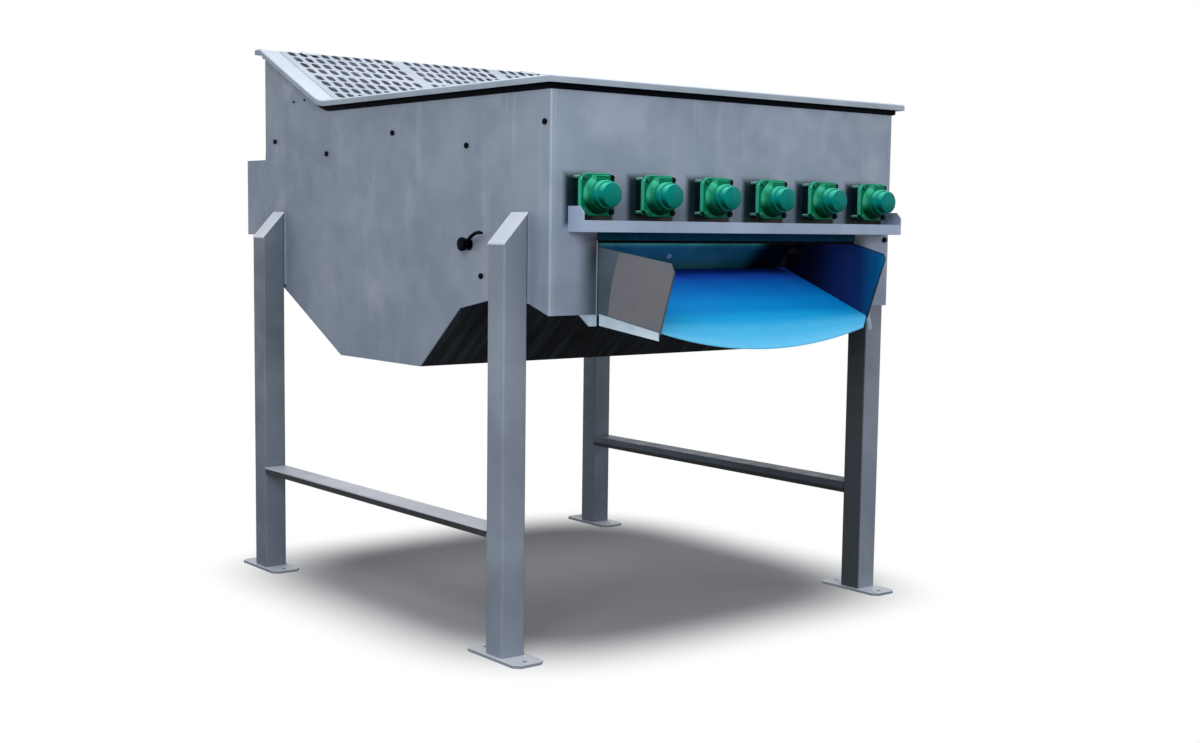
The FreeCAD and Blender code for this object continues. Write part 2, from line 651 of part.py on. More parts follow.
def make_motors():
    """Flange motor on four standoffs: square flange, tapered bell, port pad and stepped end cover."""
    housing = body("MotorHousing")
    flat = "motor_square / 2"
    nick = "motor_square / 2 - motor_corner"
    square = [(f"-({nick})", f"-{flat}"), (nick, f"-{flat}"), (flat, f"-({nick})"), (flat, nick),
              (nick, flat), (f"-({nick})", flat), (f"-{flat}", nick), (f"-{flat}", f"-({nick})")]
    pad(housing, "XZ", "-flange_face", [square], "motor_flange")
    turned(housing, [("0", "-bell_face"), ("bell_neck", "-bell_face"), ("bell_base", "-flange_face"),
                     ("0", "-flange_face")])
    port = [("-port_width / 2", "bell_neck / 2"), ("port_width / 2", "bell_neck / 2"),
            ("port_width / 2", "port_height"), ("-port_width / 2", "port_height")]
    pad(housing, "XZ", "-bell_face", [port], "bell_length")
    doc.recompute()
    solid = housing.Shape.Volume
    bore = housing.newObject("PartDesign::Pocket", "Bore")
    bore.Profile = outline(housing, "XZ", "-spacer_length", [polygon("2 * (stub_radius + running_gap)", 8)])
    bore.Reversed = True
    bind(bore, Length="stub_reach - spacer_length + plate")
    doc.recompute()
    if not housing.Shape.Volume < solid:
        raise RuntimeError("the motor's bore removes nothing")
    seats = [(scroll_x(index), along(0), "scroll_level", 0) for index in scroll_indexes()]
    copies("motor_housings", housing, seats)

    cover = body("MotorCover")
    pad(cover, "XZ", "-cover_face", [polygon("2 * cover_radius", 16)], "cover_length")
    pad(cover, "XZ", "-cover_face - cap_length", [polygon("2 * cap_radius", 16)], "cap_length")
    copies("motor_end_covers", cover, seats)

    spacer = body("Spacer")
    pad(spacer, "XZ", "-spacer_length", [polygon("2 * spacer_radius")], "spacer_length")
    head = body("MotorBolt")
    pad(head, "XZ", "-flange_face - bolt_head", [polygon("bolt_flats")], "bolt_head")
    corners = [(across, up) for across in (-1, 1) for up in (-1, 1)]
    spots = [(f"{scroll_x(index)} + {across} * spacer_offset", along(0),
              f"scroll_level + {up} * spacer_offset", 0) for index in scroll_indexes() for across, up in corners]
    copies("motor_standoffs", spacer, spots)
    copies("motor_bolts", head, spots)


def make_bolts():
    """Bolts and screws that show on the plates: the side ones face outwards, those at the rear face back."""
    head = body("SideBolt")
    pad(head, "YZ", "-bolt_head", [polygon("bolt_flats")], "bolt_head")
    screw = body("SideScrew")
    pad(screw, "YZ", "-bolt_head / 2", [polygon("screw_flats")], "bolt_head / 2")
    left = copies("side_bolts_left", head, [("-half", along(y), z, 0) for y, z in SIDE_BOLTS])
    left_screws = copies("side_screws_left", screw, [("-half", along(y), z, 0) for y, z in SIDE_SCREWS])
    parts.remove(left)
    parts.remove(left_screws)
    group("side_bolts", [left, mirrored("RightBolts", left), left_screws,
                         mirrored("RightScrews", left_screws)])

    rear_head = body("RearBolt")
    pad(rear_head, "XZ", "0", [polygon("bolt_flats")], "bolt_head")
    levels = ("guard_low - guard_flange / 2", "guard_high + guard_flange / 2")
    copies("bearing_guard_bolts", rear_head,
           [(f"{share} * half", "rear + guard_sheet", level, 0) for share in GUARD_BOLT_COLUMNS
            for level in levels])


def make_bearing_guard():
    """Folded box over the rear bearings, open to the wall, bolted through two flanges."""
    shell = box("GuardShell", "-half", "rear", "guard_low", "width", "guard_depth", "guard_high - guard_low")
    room = box("GuardRoom", "-half + guard_sheet", "rear - guard_sheet", "guard_low + guard_sheet",
               "width - 2 * guard_sheet", "guard_depth", "guard_high - guard_low - 2 * guard_sheet")
    hollow = subtract("GuardHollow", shell, room)
    upper = box("UpperFlange", "-half", "rear", "guard_high - guard_sheet", "width", "guard_sheet",
                "guard_flange + guard_sheet")
    lower = box("LowerFlange", "-half", "rear", "guard_low - guard_flange", "width", "guard_sheet",
                "guard_flange + guard_sheet")
    keep(fuse("Guard", hollow, upper, lower), "rear_bearing_guard")


def make_tray():
    """Folded tray under the motors, with a front lip and two end plates."""
    tray = body("Tray")
    left = "-half + tray_left"
    section = [(along("-tray_depth"), "tray_low"), (along(0), "tray_low"), (along(0), "tray_low + sheet"),
               (along("-tray_depth + sheet"), "tray_low + sheet"),
               (along("-tray_depth + sheet"), "tray_low + tray_lip"),
               (along("-tray_depth"), "tray_low + tray_lip")]
    pad(tray, "YZ", left, [section], "width - tray_left - tray_right")
    end = [(along("-tray_depth"), "tray_low"), (along(0), "tray_low"), (along(0), "tray_low + tray_end"),
           (along("-tray_depth + tray_corner"), "tray_low + tray_end"),
           (along("-tray_depth"), "tray_low + tray_end - tray_corner")]
    pad(tray, "YZ", left, [end], "sheet")
    pad(tray, "YZ", "half - tray_right - sheet", [end], "sheet")
    keep(tray, "motor_tray")


def chute_z(y, lift="0"):
    """Height of the chute floor's top at a distance from the front wall, plus a lift."""
    return f"chute_level + chute_fall * ({y}) + ({lift})"


# Foot, foremost point, rise and chamfer of each cheek's front, and the rise of its top at the wall.
LEFT_CHEEK = ("cheek_foot", "chute_reach", "cheek_rise", "cheek_nose", "0")
RIGHT_CHEEK = ("right_foot", "right_reach", "right_rise", "right_nose", "right_wall_rise")


def cheek_points(shape, low_lift, inset):
    """Corners (distance, height) of a cheek, its foot lifted and its open edges drawn in."""
    foot, reach, rise, nose, wall_rise = shape
    top = f"cheek_height - sheet - {inset}"
    return [(f"-{foot} + {inset}", chute_z(f"-{foot}", low_lift)),
            (f"-{reach} + {inset}", chute_z(f"-{reach}", f"{top} + {rise} - {nose}")),
            (f"-{reach} + 0.05 * cheek_height + {inset}", chute_z(f"-{reach}", f"{top} + {rise}")),
            ("0", chute_z("0", f"{top} + {wall_rise}")),
            ("plate", f"opening_top - sheet - {inset}"),
            ("cheek_step - sheet * 5", f"opening_top - sheet - {inset}"),
            ("cheek_step", f"cheek_step_level - {inset}"),
            (f"cheek_end - {inset}", f"cheek_step_level - {inset}"),
            (f"cheek_end - {inset}", chute_z(f"cheek_end - {inset}", low_lift))]


def upright(name, corners, at, thickness):
    """A plate that stands along the left cheek's line; at is its place across that line."""
    piece = body(name)
    stretched = [(f"({y}) / cos(taper_angle)", z) for y, z in corners]
    pad(piece, "YZ", at, [stretched], thickness)
    place(piece, "-chute_half", "front", "0", (0, 0, 1), "taper_angle")
    return piece


def make_chute():
    """Converging chute: sloping floor, two cheeks, the flexible sheet and what clamps it."""
    floor = body("ChuteFloor")
    half_at = "(chute_half + chute_taper * ({y}) - weld_gap)"
    stations = ("0", "chute_inner")
    left = [(f"-{half_at.format(y=y)}", f"({y}) / cos(fall_angle)") for y in stations]
    right = [(half_at.format(y=y), f"({y}) / cos(fall_angle)") for y in reversed(stations)]
    pad(floor, "XY", "-sheet", [left + right], "sheet")
    place(floor, "0", "front", "chute_level", (1, 0, 0), "fall_angle")
    keep(floor, "chute_floor")

    liners = []
    bars = []
    for side, shape in (("left", LEFT_CHEEK), ("right", RIGHT_CHEEK)):
        cheek = upright("Cheek", cheek_points(shape, "-sheet", "0"), "-sheet", "sheet")
        liner = upright("SideLiner", cheek_points(shape, "liner + 2 * fit_gap", "sheet"), "0", "side_liner")
        foot = shape[0]
        strip = [(f"-{foot} + sheet", chute_z(f"-{foot}", "-bar_front_drop")),
                 (f"-{foot} + sheet", chute_z(f"-{foot}", "bar_lap")),
                 ("-plate", chute_z("0", "bar_lap")), ("-plate", chute_z("0", "-bar_drop"))]
        bar = upright("ClampBar", strip, "-sheet - bar_plate", "bar_plate")
        if side == "right":
            cheek, liner, bar = [mirrored("Right" + piece.Name, piece) for piece in (cheek, liner, bar)]
        keep(cheek, f"chute_{side}_cheek")
        liners.append(liner)
        bars.append(bar)
    group("cheek_liners", liners)

    tab = body("CornerTab")
    back = "right_foot - sheet - bar_plate"
    beside = f"chute_half - chute_taper * ({back}) + (sheet + bar_plate) / cos(taper_angle) + weld_gap / 2"
    low = chute_z(f"-({back})", "-tab_drop")
    corner = [(beside, low), (f"{beside} + tab_width", low), (beside, chute_z(f"-({back})", "tab_rise"))]
    pad(tab, "XZ", along("-right_foot + sheet"), [corner], "bar_plate")
    gusset = body("Gusset")
    inner_edge = "-opening_half"
    outer_edge = "-opening_half - gusset_width"
    corner = [(outer_edge, "wall_low"), (f"{inner_edge} - gusset_foot", "wall_low - gusset_drop"),
              (inner_edge, "wall_low - gusset_drop"), (inner_edge, "wall_low")]
    pad(gusset, "XZ", along("0"), [corner], "bar_plate")
    group("chute_clamp_bars", bars + [tab])
    group("chute_brackets", [gusset, mirrored("RightGusset", gusset)])

    keep(flexible_sheet(), "chute_liner")


def flexible_sheet():
    """The flexible sheet: flat on the floor inside, hanging from the cheeks outside.

    Its lip hangs as a parabola, and past the right cheek's foot its right edge runs free to the lip's end.
    """
    half = value("chute_half - side_liner * 2")
    taper = value("chute_taper")
    reach = value("liner_reach")
    foot = value("right_foot")
    foot_x = half - taper * foot
    across = (-1, -0.7, -0.4, -0.1, 0.1, 0.4, 0.7, 1)
    rings = []
    for y in (-reach, -0.8 * reach, -foot, -0.3 * reach, 0, value("chute_inner - sheet * 2")):
        free = max(0.0, (-y - foot) / (reach - foot))
        left = -(half + taper * y)
        right = foot_x + (value("liner_corner") - foot_x) * free if free else -left
        sag = value("liner_sag") * max(0.0, -y / reach) ** 1.6
        edge = value(chute_z(y, "fit_gap"))
        line = [FreeCAD.Vector((left + right) / 2 + (right - left) / 2 * share, value("front") + y,
                               edge - sag * (1 - share * share)
                               - value("liner_droop") * free * (1 + share) / 2)
                for share in across]
        lift = FreeCAD.Vector(0, 0, value("liner"))
        rings.append(line + [point + lift for point in reversed(line)])
    return stitched("FlexibleSheet", rings)


def make_flap():
    """Pivoting flap under the scrolls on a cross shaft, with the lever that sets it."""
    shaft_y = along("flap_shaft_at")
    lever_end = "hub_start + hub_length"
    shaft = rod("FlapShaft", "-half - hub_start - hub_length / 2", shaft_y, "flap_shaft_level",
                "flap_shaft_radius", "width + hub_start + hub_length / 2 + bush_flange / 2")
    keep(shaft, "flap_shaft")

    flap = body("Flap")
    section = [("flap_reach", "-flap_drop"),
               ("flap_reach - flap_plate * sin(atan(flap_drop / flap_reach))",
                "-flap_drop - flap_plate * cos(atan(flap_drop / flap_reach))"),
               ("-flap_plate * sin(atan(flap_drop / flap_reach))",
                "-flap_plate * cos(atan(flap_drop / flap_reach))"), ("0", "0")]
    pad(flap, "YZ", "-flap_half", [section], "2 * flap_half")
    pad(flap, "YZ", "-flap_half", [(("0", "0"), "flap_hub_radius")], "2 * flap_half")
    cut(flap, "YZ", "-flap_half", [(("0", "0"), "flap_shaft_radius")])
    place(flap, "0", shaft_y, "flap_shaft_level")
    keep(flap, "divider_flap")

    bush = body("Bush")
    bore = (("0", "0"), "flap_shaft_radius + running_gap")
    pad(bush, "YZ", "-half - bush_flange / 2", [polygon("2 * bush_radius", 8), bore], "bush_flange / 2")
    pad(bush, "YZ", "-half", [polygon("2 * bush_neck", 12), bore], "plate + bush_flange")
    place(bush, "0", shaft_y, "flap_shaft_level")
    group("flap_bushes", [bush, mirrored("RightBush", bush)])

    lever = body("Lever")
    bore = polygon("2 * flap_shaft_radius", 8)
    pad(lever, "YZ", f"-half - ({lever_end})", [polygon("2 * hub_radius", 16), bore], "hub_length / 2")
    pad(lever, "YZ", "-half - hub_start - hub_length / 2", [polygon("2 * hub_neck", 8), bore], "hub_length / 2")
    place(lever, "0", shaft_y, "flap_shaft_level")

    start = FreeCAD.Vector(value("-half - hub_start - hub_length * 0.6"),
                           value(f"{shaft_y} - hub_neck"), value("flap_shaft_level"))
    end = FreeCAD.Vector(value("-half - hub_start - hub_length"), value(f"{shaft_y} - arm_reach"),
                         value("flap_shaft_level + arm_rise"))
    across = (end - start).normalize().cross(FreeCAD.Vector(1, 0, 0))
    bow = Part.Arc(start, (start + end) * 0.5 + across * value("arm_bow"), end)
    first, last = bow.FirstParameter, bow.LastParameter
    flat_ring = [FreeCAD.Vector(value(u), value(v), 0) for u, v in polygon("2 * arm_radius", 8)]
    rings = []
    for step in range(ARM_FACETS + 1):
        at = first + (last - first) * step / ARM_FACETS
        aim = FreeCAD.Rotation(FreeCAD.Vector(0, 0, 1), bow.tangent(at)[0])
        rings.append([bow.value(at) + aim.multVec(corner) for corner in flat_ring])
    arm = stitched("Arm", rings)
    keep(fuse("FlapLever", lever, arm), "flap_lever")


def make_frame():
    """Four mitred legs on foot plates, their caps and weld pads, and an angle brace on each side."""
    legs = {}
    caps = []
    pads = []
    feet = []
    for name, at in (("front", "leg_front"), ("rear", "leg_rear")):
        leg = body("Leg" + name)
        far = "leg_size / 2"
        near = "leg_size / 2 - leg_wall"
        x0, y0 = "-leg_axis", along(at)
        square = [(f"{x0} {a} {far}", f"{y0} {b} {far}") for a, b in ("--", "+-", "++", "-+")]
        hollow = [(f"{x0} {a} ({near})", f"{y0} {b} ({near})") for a, b in ("--", "+-", "++", "-+")]
        base = pad(leg, "XY", "foot_plate", [square], "leg_top_inner - foot_plate")
        round_edges(leg, base, "leg_round")
        cut(leg, "XY", "foot_plate", [hollow])
        outer = f"{x0} - {far}"
        inside = f"{x0} + {far}"
        mitre = [(outer, "leg_top_outer - cap_plate"), (inside, "leg_top_inner - cap_plate"),
                 (inside, "leg_top_inner + leg_size"), (outer, "leg_top_inner + leg_size")]
        cut(leg, "XZ", y0, [mitre])
        legs[name] = leg

        cap = body("Cap" + name)
        slab = [(outer, "leg_top_outer - cap_plate"), (inside, "leg_top_inner - cap_plate"),
                (inside, "leg_top_inner"), (outer, "leg_top_outer")]
        pad(cap, "XZ", f"{y0} - {far}", [slab], "leg_size")
        caps += [cap, mirrored("RightCap" + name, cap)]

        strip = box("Pad" + name, "-half - leg_pad", f"{y0} - {far}", "leg_pad_low", "leg_pad", "leg_size",
                    "leg_top_inner - leg_pad_low")
        pads += [strip, mirrored("RightPad" + name, strip)]

        foot = body("Foot" + name)
        wide, long = "foot_width / 2", "foot_length / 2"
        cut_wide, cut_long = "foot_width / 2 - foot_corner", "foot_length / 2 - foot_corner"
        corners = [("-", cut_wide, "-", long), ("+", cut_wide, "-", long), ("+", wide, "-", cut_long),
                   ("+", wide, "+", cut_long), ("+", cut_wide, "+", long), ("-", cut_wide, "+", long),
                   ("-", wide, "+", cut_long), ("-", wide, "-", cut_long)]
        edge = [(f"{x0} {a} ({u})", f"{y0} {b} ({v})") for a, u, b, v in corners]
        anchors = [((x0, f"{y0} {b} anchor_offset"), "anchor_radius") for b in "-+"]
        pad(foot, "XY", "0", [edge] + anchors, "foot_plate")
        feet += [foot, mirrored("RightFoot" + name, foot)]
    for name, leg in legs.items():
        keep(leg, f"leg_{name}_left")
        keep(mirrored("RightLeg" + name, leg), f"leg_{name}_right")
    group("leg_caps", caps)
    group("leg_pads", pads)
    group("foot_plates", feet)

    brace = body("Brace")
    inside = "-leg_axis + leg_size / 2"
    section = [("-leg_axis - leg_size / 2", "brace_top - brace_plate"),
               (f"{inside} - brace_plate", "brace_top - brace_plate"),
               (f"{inside} - brace_plate", "brace_top - brace_height"), (inside, "brace_top - brace_height"),
               (inside, "brace_top"), ("-leg_axis - leg_size / 2", "brace_top")]
    pad(brace, "XZ", along("leg_front + leg_size / 2"), [section], "leg_rear - leg_front - leg_size")
    keep(brace, "brace_left")
    keep(mirrored("RightBrace", brace), "brace_right")


def round_edges(owner, base, radius):
    """Rounds the upright edges of a body's last feature."""
    doc.recompute()
    names = []
    for number, edge in enumerate(base.Shape.Edges, start=1):
        direction = edge.tangentAt(edge.FirstParameter)
        if abs(abs(direction.z) - 1) < 1e-6:
            names.append(f"Edge{number}")
    feature = owner.newObject("PartDesign::Fillet", "Rounded")
    feature.Base = (base, names)
    bind(feature, Radius=radius)
    return feature


def make_hood():
    """Perforated hood over the sloping part of the rim, hinged along the rear rim."""
    hood = doc.addObject("Part::Feature", "Hood")
    across = value("half - hood_side_gap")
    slope_length = value("slope_length")
    low, high = value("hood_low") - slope_length, -value("hood_high")
    wires = [Part.makePolygon([FreeCAD.Vector(x, y, 0) for x, y in
                               ((-across, low), (across, low), (across, high), (-across, high), (-across, low))])]
    long = value("hole_length") / value("hole_width")
    slot = [(value(u), long * value(v)) for v, u in polygon("hole_width * cos(30)")]
    rows = [slope_length * (HOLE_FIRST + HOLE_RISE * row + HOLE_GROUP * upper)
            for upper in (0, 1) for row in range(HOLE_ROWS)]
    for start, count in zip(HOLE_STARTS, HOLE_COUNTS):
        for column in range(count):
            x = value(f"-half + width * ({start} + {column} * {HOLE_STEP})")
            for row in rows:
                corners = [FreeCAD.Vector(x + u, row - slope_length + v, 0) for u, v in slot]
                wires.append(Part.makePolygon(corners + corners[:1]))
    face = Part.makeFace(wires, "Part::FaceMakerBullseye")
    hood.Shape = face.extrude(FreeCAD.Vector(0, 0, value("hood_sheet")))
    tilt = FreeCAD.Rotation(FreeCAD.Vector(1, 0, 0), value("slope_angle"))
    lift = tilt.multVec(FreeCAD.Vector(0, 0, value("fit_gap")))
    hood.Placement = FreeCAD.Placement(
        FreeCAD.Vector(0, value(along("head")), value("rim_top + rear_rise")) + lift, tilt)
    keep(hood, "hood_guard")

    rail = body("Rail")
    surface = "slope_top + ({y} - slope_start) * slope - fit_gap"
    near, far = "rail_at", "rail_at + plate"
    section = [(along(near), surface.format(y=near)), (along(near), "wall_top - rail_height"),
               (along("rail_at + rail_foot"), "wall_top - rail_height"),
               (along("rail_at + rail_foot"), f"wall_top - rail_height + plate"),
               (along(far), f"wall_top - rail_height + plate"), (along(far), surface.format(y=far))]
    pad(rail, "YZ", "-inner", [section], "2 * inner")
    keep(rail, "hood_rail")

    fixed = []
    moving = []
    pins = []
    axis_y, axis_z = along("hinge_axis"), "hinge_level"
    leaf_level = "rim_top + rear_rise + fit_gap"
    for number, centre in enumerate(("-hinge_spread", "hinge_spread")):
        barrel = rod(f"FixedBarrel{number}", centre, axis_y, axis_z, "hinge_radius", "hinge_length")
        foot = box(f"HingeFoot{number}", centre, "rear + rim_overhang", "hinge_level - hinge_radius",
                   "hinge_length", "hinge_gap + hinge_radius", "hinge_radius")
        solid = fuse(f"FixedSolid{number}", barrel, foot)
        hole = rod(f"FixedBore{number}", centre, axis_y, axis_z, "hinge_pin + fit_gap / 10", "hinge_length")
        fixed.append(subtract(f"FixedHinge{number}", solid, hole))

        start = f"{centre} - hinge_length - fit_gap"
        barrel = rod(f"MovingBarrel{number}", start, axis_y, axis_z, "hinge_radius", "hinge_length")
        web = box(f"HingeWeb{number}", start, along("hinge_axis - hood_sheet / 2"), axis_z, "hinge_length",
                  "hood_sheet", "hinge_drop + fit_gap + hood_sheet")
        leaf = box(f"HingeLeaf{number}", start, along("head - hinge_lap"), leaf_level, "hinge_length",
                   "hinge_axis + hood_sheet / 2 - head + hinge_lap", "hood_sheet")
        tab = body(f"HingeTab{number}")
        edge = [(end, f"fit_gap + {layers} * hood_sheet") for end, layers in
                (("hood_sheet / 2", 1), ("-hinge_tab", 1), ("-hinge_tab", 2), ("hood_sheet / 2", 2))]
        pad(tab, "YZ", start, [edge], "hinge_length")
        place(tab, "0", along("head"), "rim_top + rear_rise", (1, 0, 0), "slope_angle")
        solid = fuse(f"MovingSolid{number}", barrel, web, leaf, tab)
        hole = rod(f"MovingBore{number}", start, axis_y, axis_z, "hinge_pin + running_gap", "hinge_length")
        moving.append(subtract(f"MovingHinge{number}", solid, hole))
        pins.append(rod(f"HingePin{number}", f"{centre} - hinge_length - 2 * fit_gap", axis_y, axis_z,
                        "hinge_pin", "2 * hinge_length + 4 * fit_gap"))
    group("hinge_barrels_fixed", fixed)
    group("hinge_barrels_hood", moving)
    group("hinge_pins", pins)


make_side_plates()
make_walls()
make_rims()
make_hopper()
make_scrolls()
make_motors()
make_bolts()
make_bearing_guard()
make_tray()
make_chute()
make_flap()
make_frame()
make_hood()
doc.recompute()

for item in doc.Objects:
    if {"Invalid", "Error"} & set(item.State):
        raise RuntimeError(f"{item.Name} ({item.Label}) failed: {item.State}")
os.makedirs("parts", exist_ok=True)
for item in parts:
    if item.Shape.isNull() or not item.Shape.isValid():
        raise RuntimeError(f"{item.Label} has no valid shape")
    item.Shape.exportStep(os.path.join("parts", item.Label + ".step"))
print(len(parts), "sub-parts written")
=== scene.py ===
"""Scroll grader: the machine's visible surfaces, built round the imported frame.

Each section makes one piece or one group of like pieces, in the order in which the machine is put
together. Lengths are in metres in the frame's axes: +X across, +Y from motors to bearings, +Z up.
"""
import math

import bmesh
import bpy
import numpy as np
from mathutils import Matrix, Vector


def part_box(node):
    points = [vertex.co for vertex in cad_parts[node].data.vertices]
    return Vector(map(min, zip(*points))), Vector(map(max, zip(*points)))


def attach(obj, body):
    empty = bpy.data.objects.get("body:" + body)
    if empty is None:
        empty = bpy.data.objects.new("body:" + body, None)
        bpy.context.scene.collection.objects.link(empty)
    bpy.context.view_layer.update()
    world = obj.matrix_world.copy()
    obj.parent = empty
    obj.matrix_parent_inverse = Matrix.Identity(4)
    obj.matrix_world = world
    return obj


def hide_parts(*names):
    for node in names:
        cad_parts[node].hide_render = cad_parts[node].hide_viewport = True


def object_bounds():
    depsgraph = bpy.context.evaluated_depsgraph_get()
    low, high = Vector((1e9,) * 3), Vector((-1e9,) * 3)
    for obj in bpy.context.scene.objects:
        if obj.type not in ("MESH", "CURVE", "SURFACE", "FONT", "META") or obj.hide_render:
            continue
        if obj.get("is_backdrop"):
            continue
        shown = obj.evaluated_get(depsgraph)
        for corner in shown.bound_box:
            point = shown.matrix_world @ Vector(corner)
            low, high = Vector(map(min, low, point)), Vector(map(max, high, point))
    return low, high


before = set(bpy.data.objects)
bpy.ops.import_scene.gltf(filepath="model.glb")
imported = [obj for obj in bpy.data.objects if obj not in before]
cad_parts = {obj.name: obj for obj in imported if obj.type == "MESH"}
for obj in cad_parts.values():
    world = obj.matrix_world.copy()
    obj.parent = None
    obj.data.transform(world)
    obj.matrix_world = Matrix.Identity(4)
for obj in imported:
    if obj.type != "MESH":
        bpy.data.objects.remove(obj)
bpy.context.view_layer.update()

# Camera: the picture is taken from the front left, at eye height and with a slight tilt down.
# Place and angles come from the machine's own edges, so the perspective is that of the picture.
CAMERA_PLACE = (-4.025, -5.210, 1.517)
CAMERA_ANGLES = (84.312, -0.687, -38.112)
CAMERA_LENS, CAMERA_SENSOR, CAMERA_REACH = 46.56, 36.0, 60.0
CAMERA_SHIFT = (0.0142, 0.0079)

camera_data = bpy.data.cameras.new("Camera")
camera_data.sensor_width = CAMERA_SENSOR
camera_data.lens = CAMERA_LENS
camera_data.shift_x, camera_data.shift_y = CAMERA_SHIFT
camera_data.clip_end = CAMERA_REACH
camera = bpy.data.objects.new("Camera", camera_data)
camera.location = CAMERA_PLACE
camera.rotation_euler = [math.radians(angle) for angle in CAMERA_ANGLES]
bpy.context.scene.collection.objects.link(camera)
bpy.context.scene.camera = camera


# Side plates: 6 mm hot-dip galvanised steel, cut to the hopper's outline. The front edge of each is
# folded round the corner in the press, and the front wall is welded to that fold.
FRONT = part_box("front_wall")[0].y
HALF_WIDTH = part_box("right_side_plate")[1].x
PLATE, EDGE_ROUNDING = 0.006, 0.0012
CORNER_RADIUS, CORNER_RETURN = 0.008, 0.023
SIDE_OUTLINE = [(0.117, 1.247), (0.373, 1.247), (0.549, 1.212), (0.821, 0.976), (1.433, 0.976),
                (1.897, 1.2178), (1.897, 2.1735), (1.557, 2.0106)]
WALL_LOW, WALL_TOP = 1.212, 2.011
BODY_ZINC = ("#8A95A6", "#7E8A9B", "#A8ABBE")
ZINC_CLOUD, ZINC_BLOTCH, ZINC_CRYSTAL = 0.34, 0.26, 0.012
RUN_WIDTH, RUN_STRETCH, RUN_SHIFT = 0.055, 7.0, 3.0
PLATE_WAVE, ZINC_GRAIN = 0.30, 0.004


def linear(code):
    """Linear colour of an sRGB hex code, with full alpha."""
    channels = np.array([int(code[place:place + 2], 16) for place in (1, 3, 5)]) / 255
    curve = np.where(channels <= 0.04045, channels / 12.92, ((channels + 0.055) / 1.055) ** 2.4)
    return (*curve.tolist(), 1.0)


def add_node(tree, kind, values=None, links=None):
    """Adds a shader node, sets its properties or sockets by name, and links outputs into its sockets."""
    node = tree.nodes.new(kind)
    for name, value in (values or {}).items():
        if isinstance(name, str) and hasattr(node, name):
            setattr(node, name, value)
        else:
            node.inputs[name].default_value = value
    for name, output in (links or {}).items():
        tree.links.new(output, node.inputs[name])
    return node


def new_material(name):
    """An empty material with its node tree and the object's own coordinates."""
    material = bpy.data.materials.new(name)
    material.use_nodes = True
    tree = material.node_tree
    tree.nodes.clear()
    return material, tree, add_node(tree, "ShaderNodeTexCoord").outputs["Object"]


def surfaced(material, shader):
    """The material, with the shader on its surface."""
    tree = material.node_tree
    tree.links.new(shader.outputs[0], add_node(tree, "ShaderNodeOutputMaterial").inputs["Surface"])
    return material


def worked(tree, operation, *terms):
    """Result of a Math node; each term is a number or a node's output."""
    values, links = {"operation": operation}, {}
    for socket, term in enumerate(terms):
        (values if isinstance(term, float) else links)[socket] = term
    return add_node(tree, "ShaderNodeMath", values, links).outputs[0]


def axes(tree, vector):
    """The X, Y and Z outputs of a vector."""
    return add_node(tree, "ShaderNodeSeparateXYZ", {}, {"Vector": vector}).outputs


def ramp(tree, output, low, high, low_value=0.0, high_value=1.0):
    """A value rises from low_value to high_value while the output goes from low to high."""
    return add_node(tree, "ShaderNodeMapRange", {"interpolation_type": "SMOOTHSTEP", "From Min": low,
                    "From Max": high, "To Min": low_value, "To Max": high_value},
                    {"Value": output}).outputs["Result"]


def blend_colours(tree, share, first, second):
    """Colour that goes from first to second with share; each is a hex code or a node's output."""
    values, links = {"data_type": "RGBA"}, {0: share}
    for socket, colour in ((6, first), (7, second)):
        if isinstance(colour, str):
            values[socket] = linear(colour)
        else:
            links[socket] = colour
    return add_node(tree, "ShaderNodeMix", values, links).outputs[2]


def noise(tree, vector, size, detail=4.0, roughness=0.5):
    """Noise whose blotches are about size metres wide."""
    return add_node(tree, "ShaderNodeTexNoise", {"Scale": 1 / size, "Detail": detail,
                    "Roughness": roughness}, {"Vector": vector}).outputs["Fac"]


def mapped(tree, vector, settings):
    """Coordinates turned, moved or squeezed by a Mapping node."""
    return add_node(tree, "ShaderNodeMapping", settings, {"Vector": vector}).outputs["Vector"]


def bump(tree, height, strength, distance, **under):
    """Normal of a bump of this height; Normal= is one that it lies on."""
    return add_node(tree, "ShaderNodeBump", {"Strength": strength, "Distance": distance},
                    {"Height": height, **under}).outputs["Normal"]


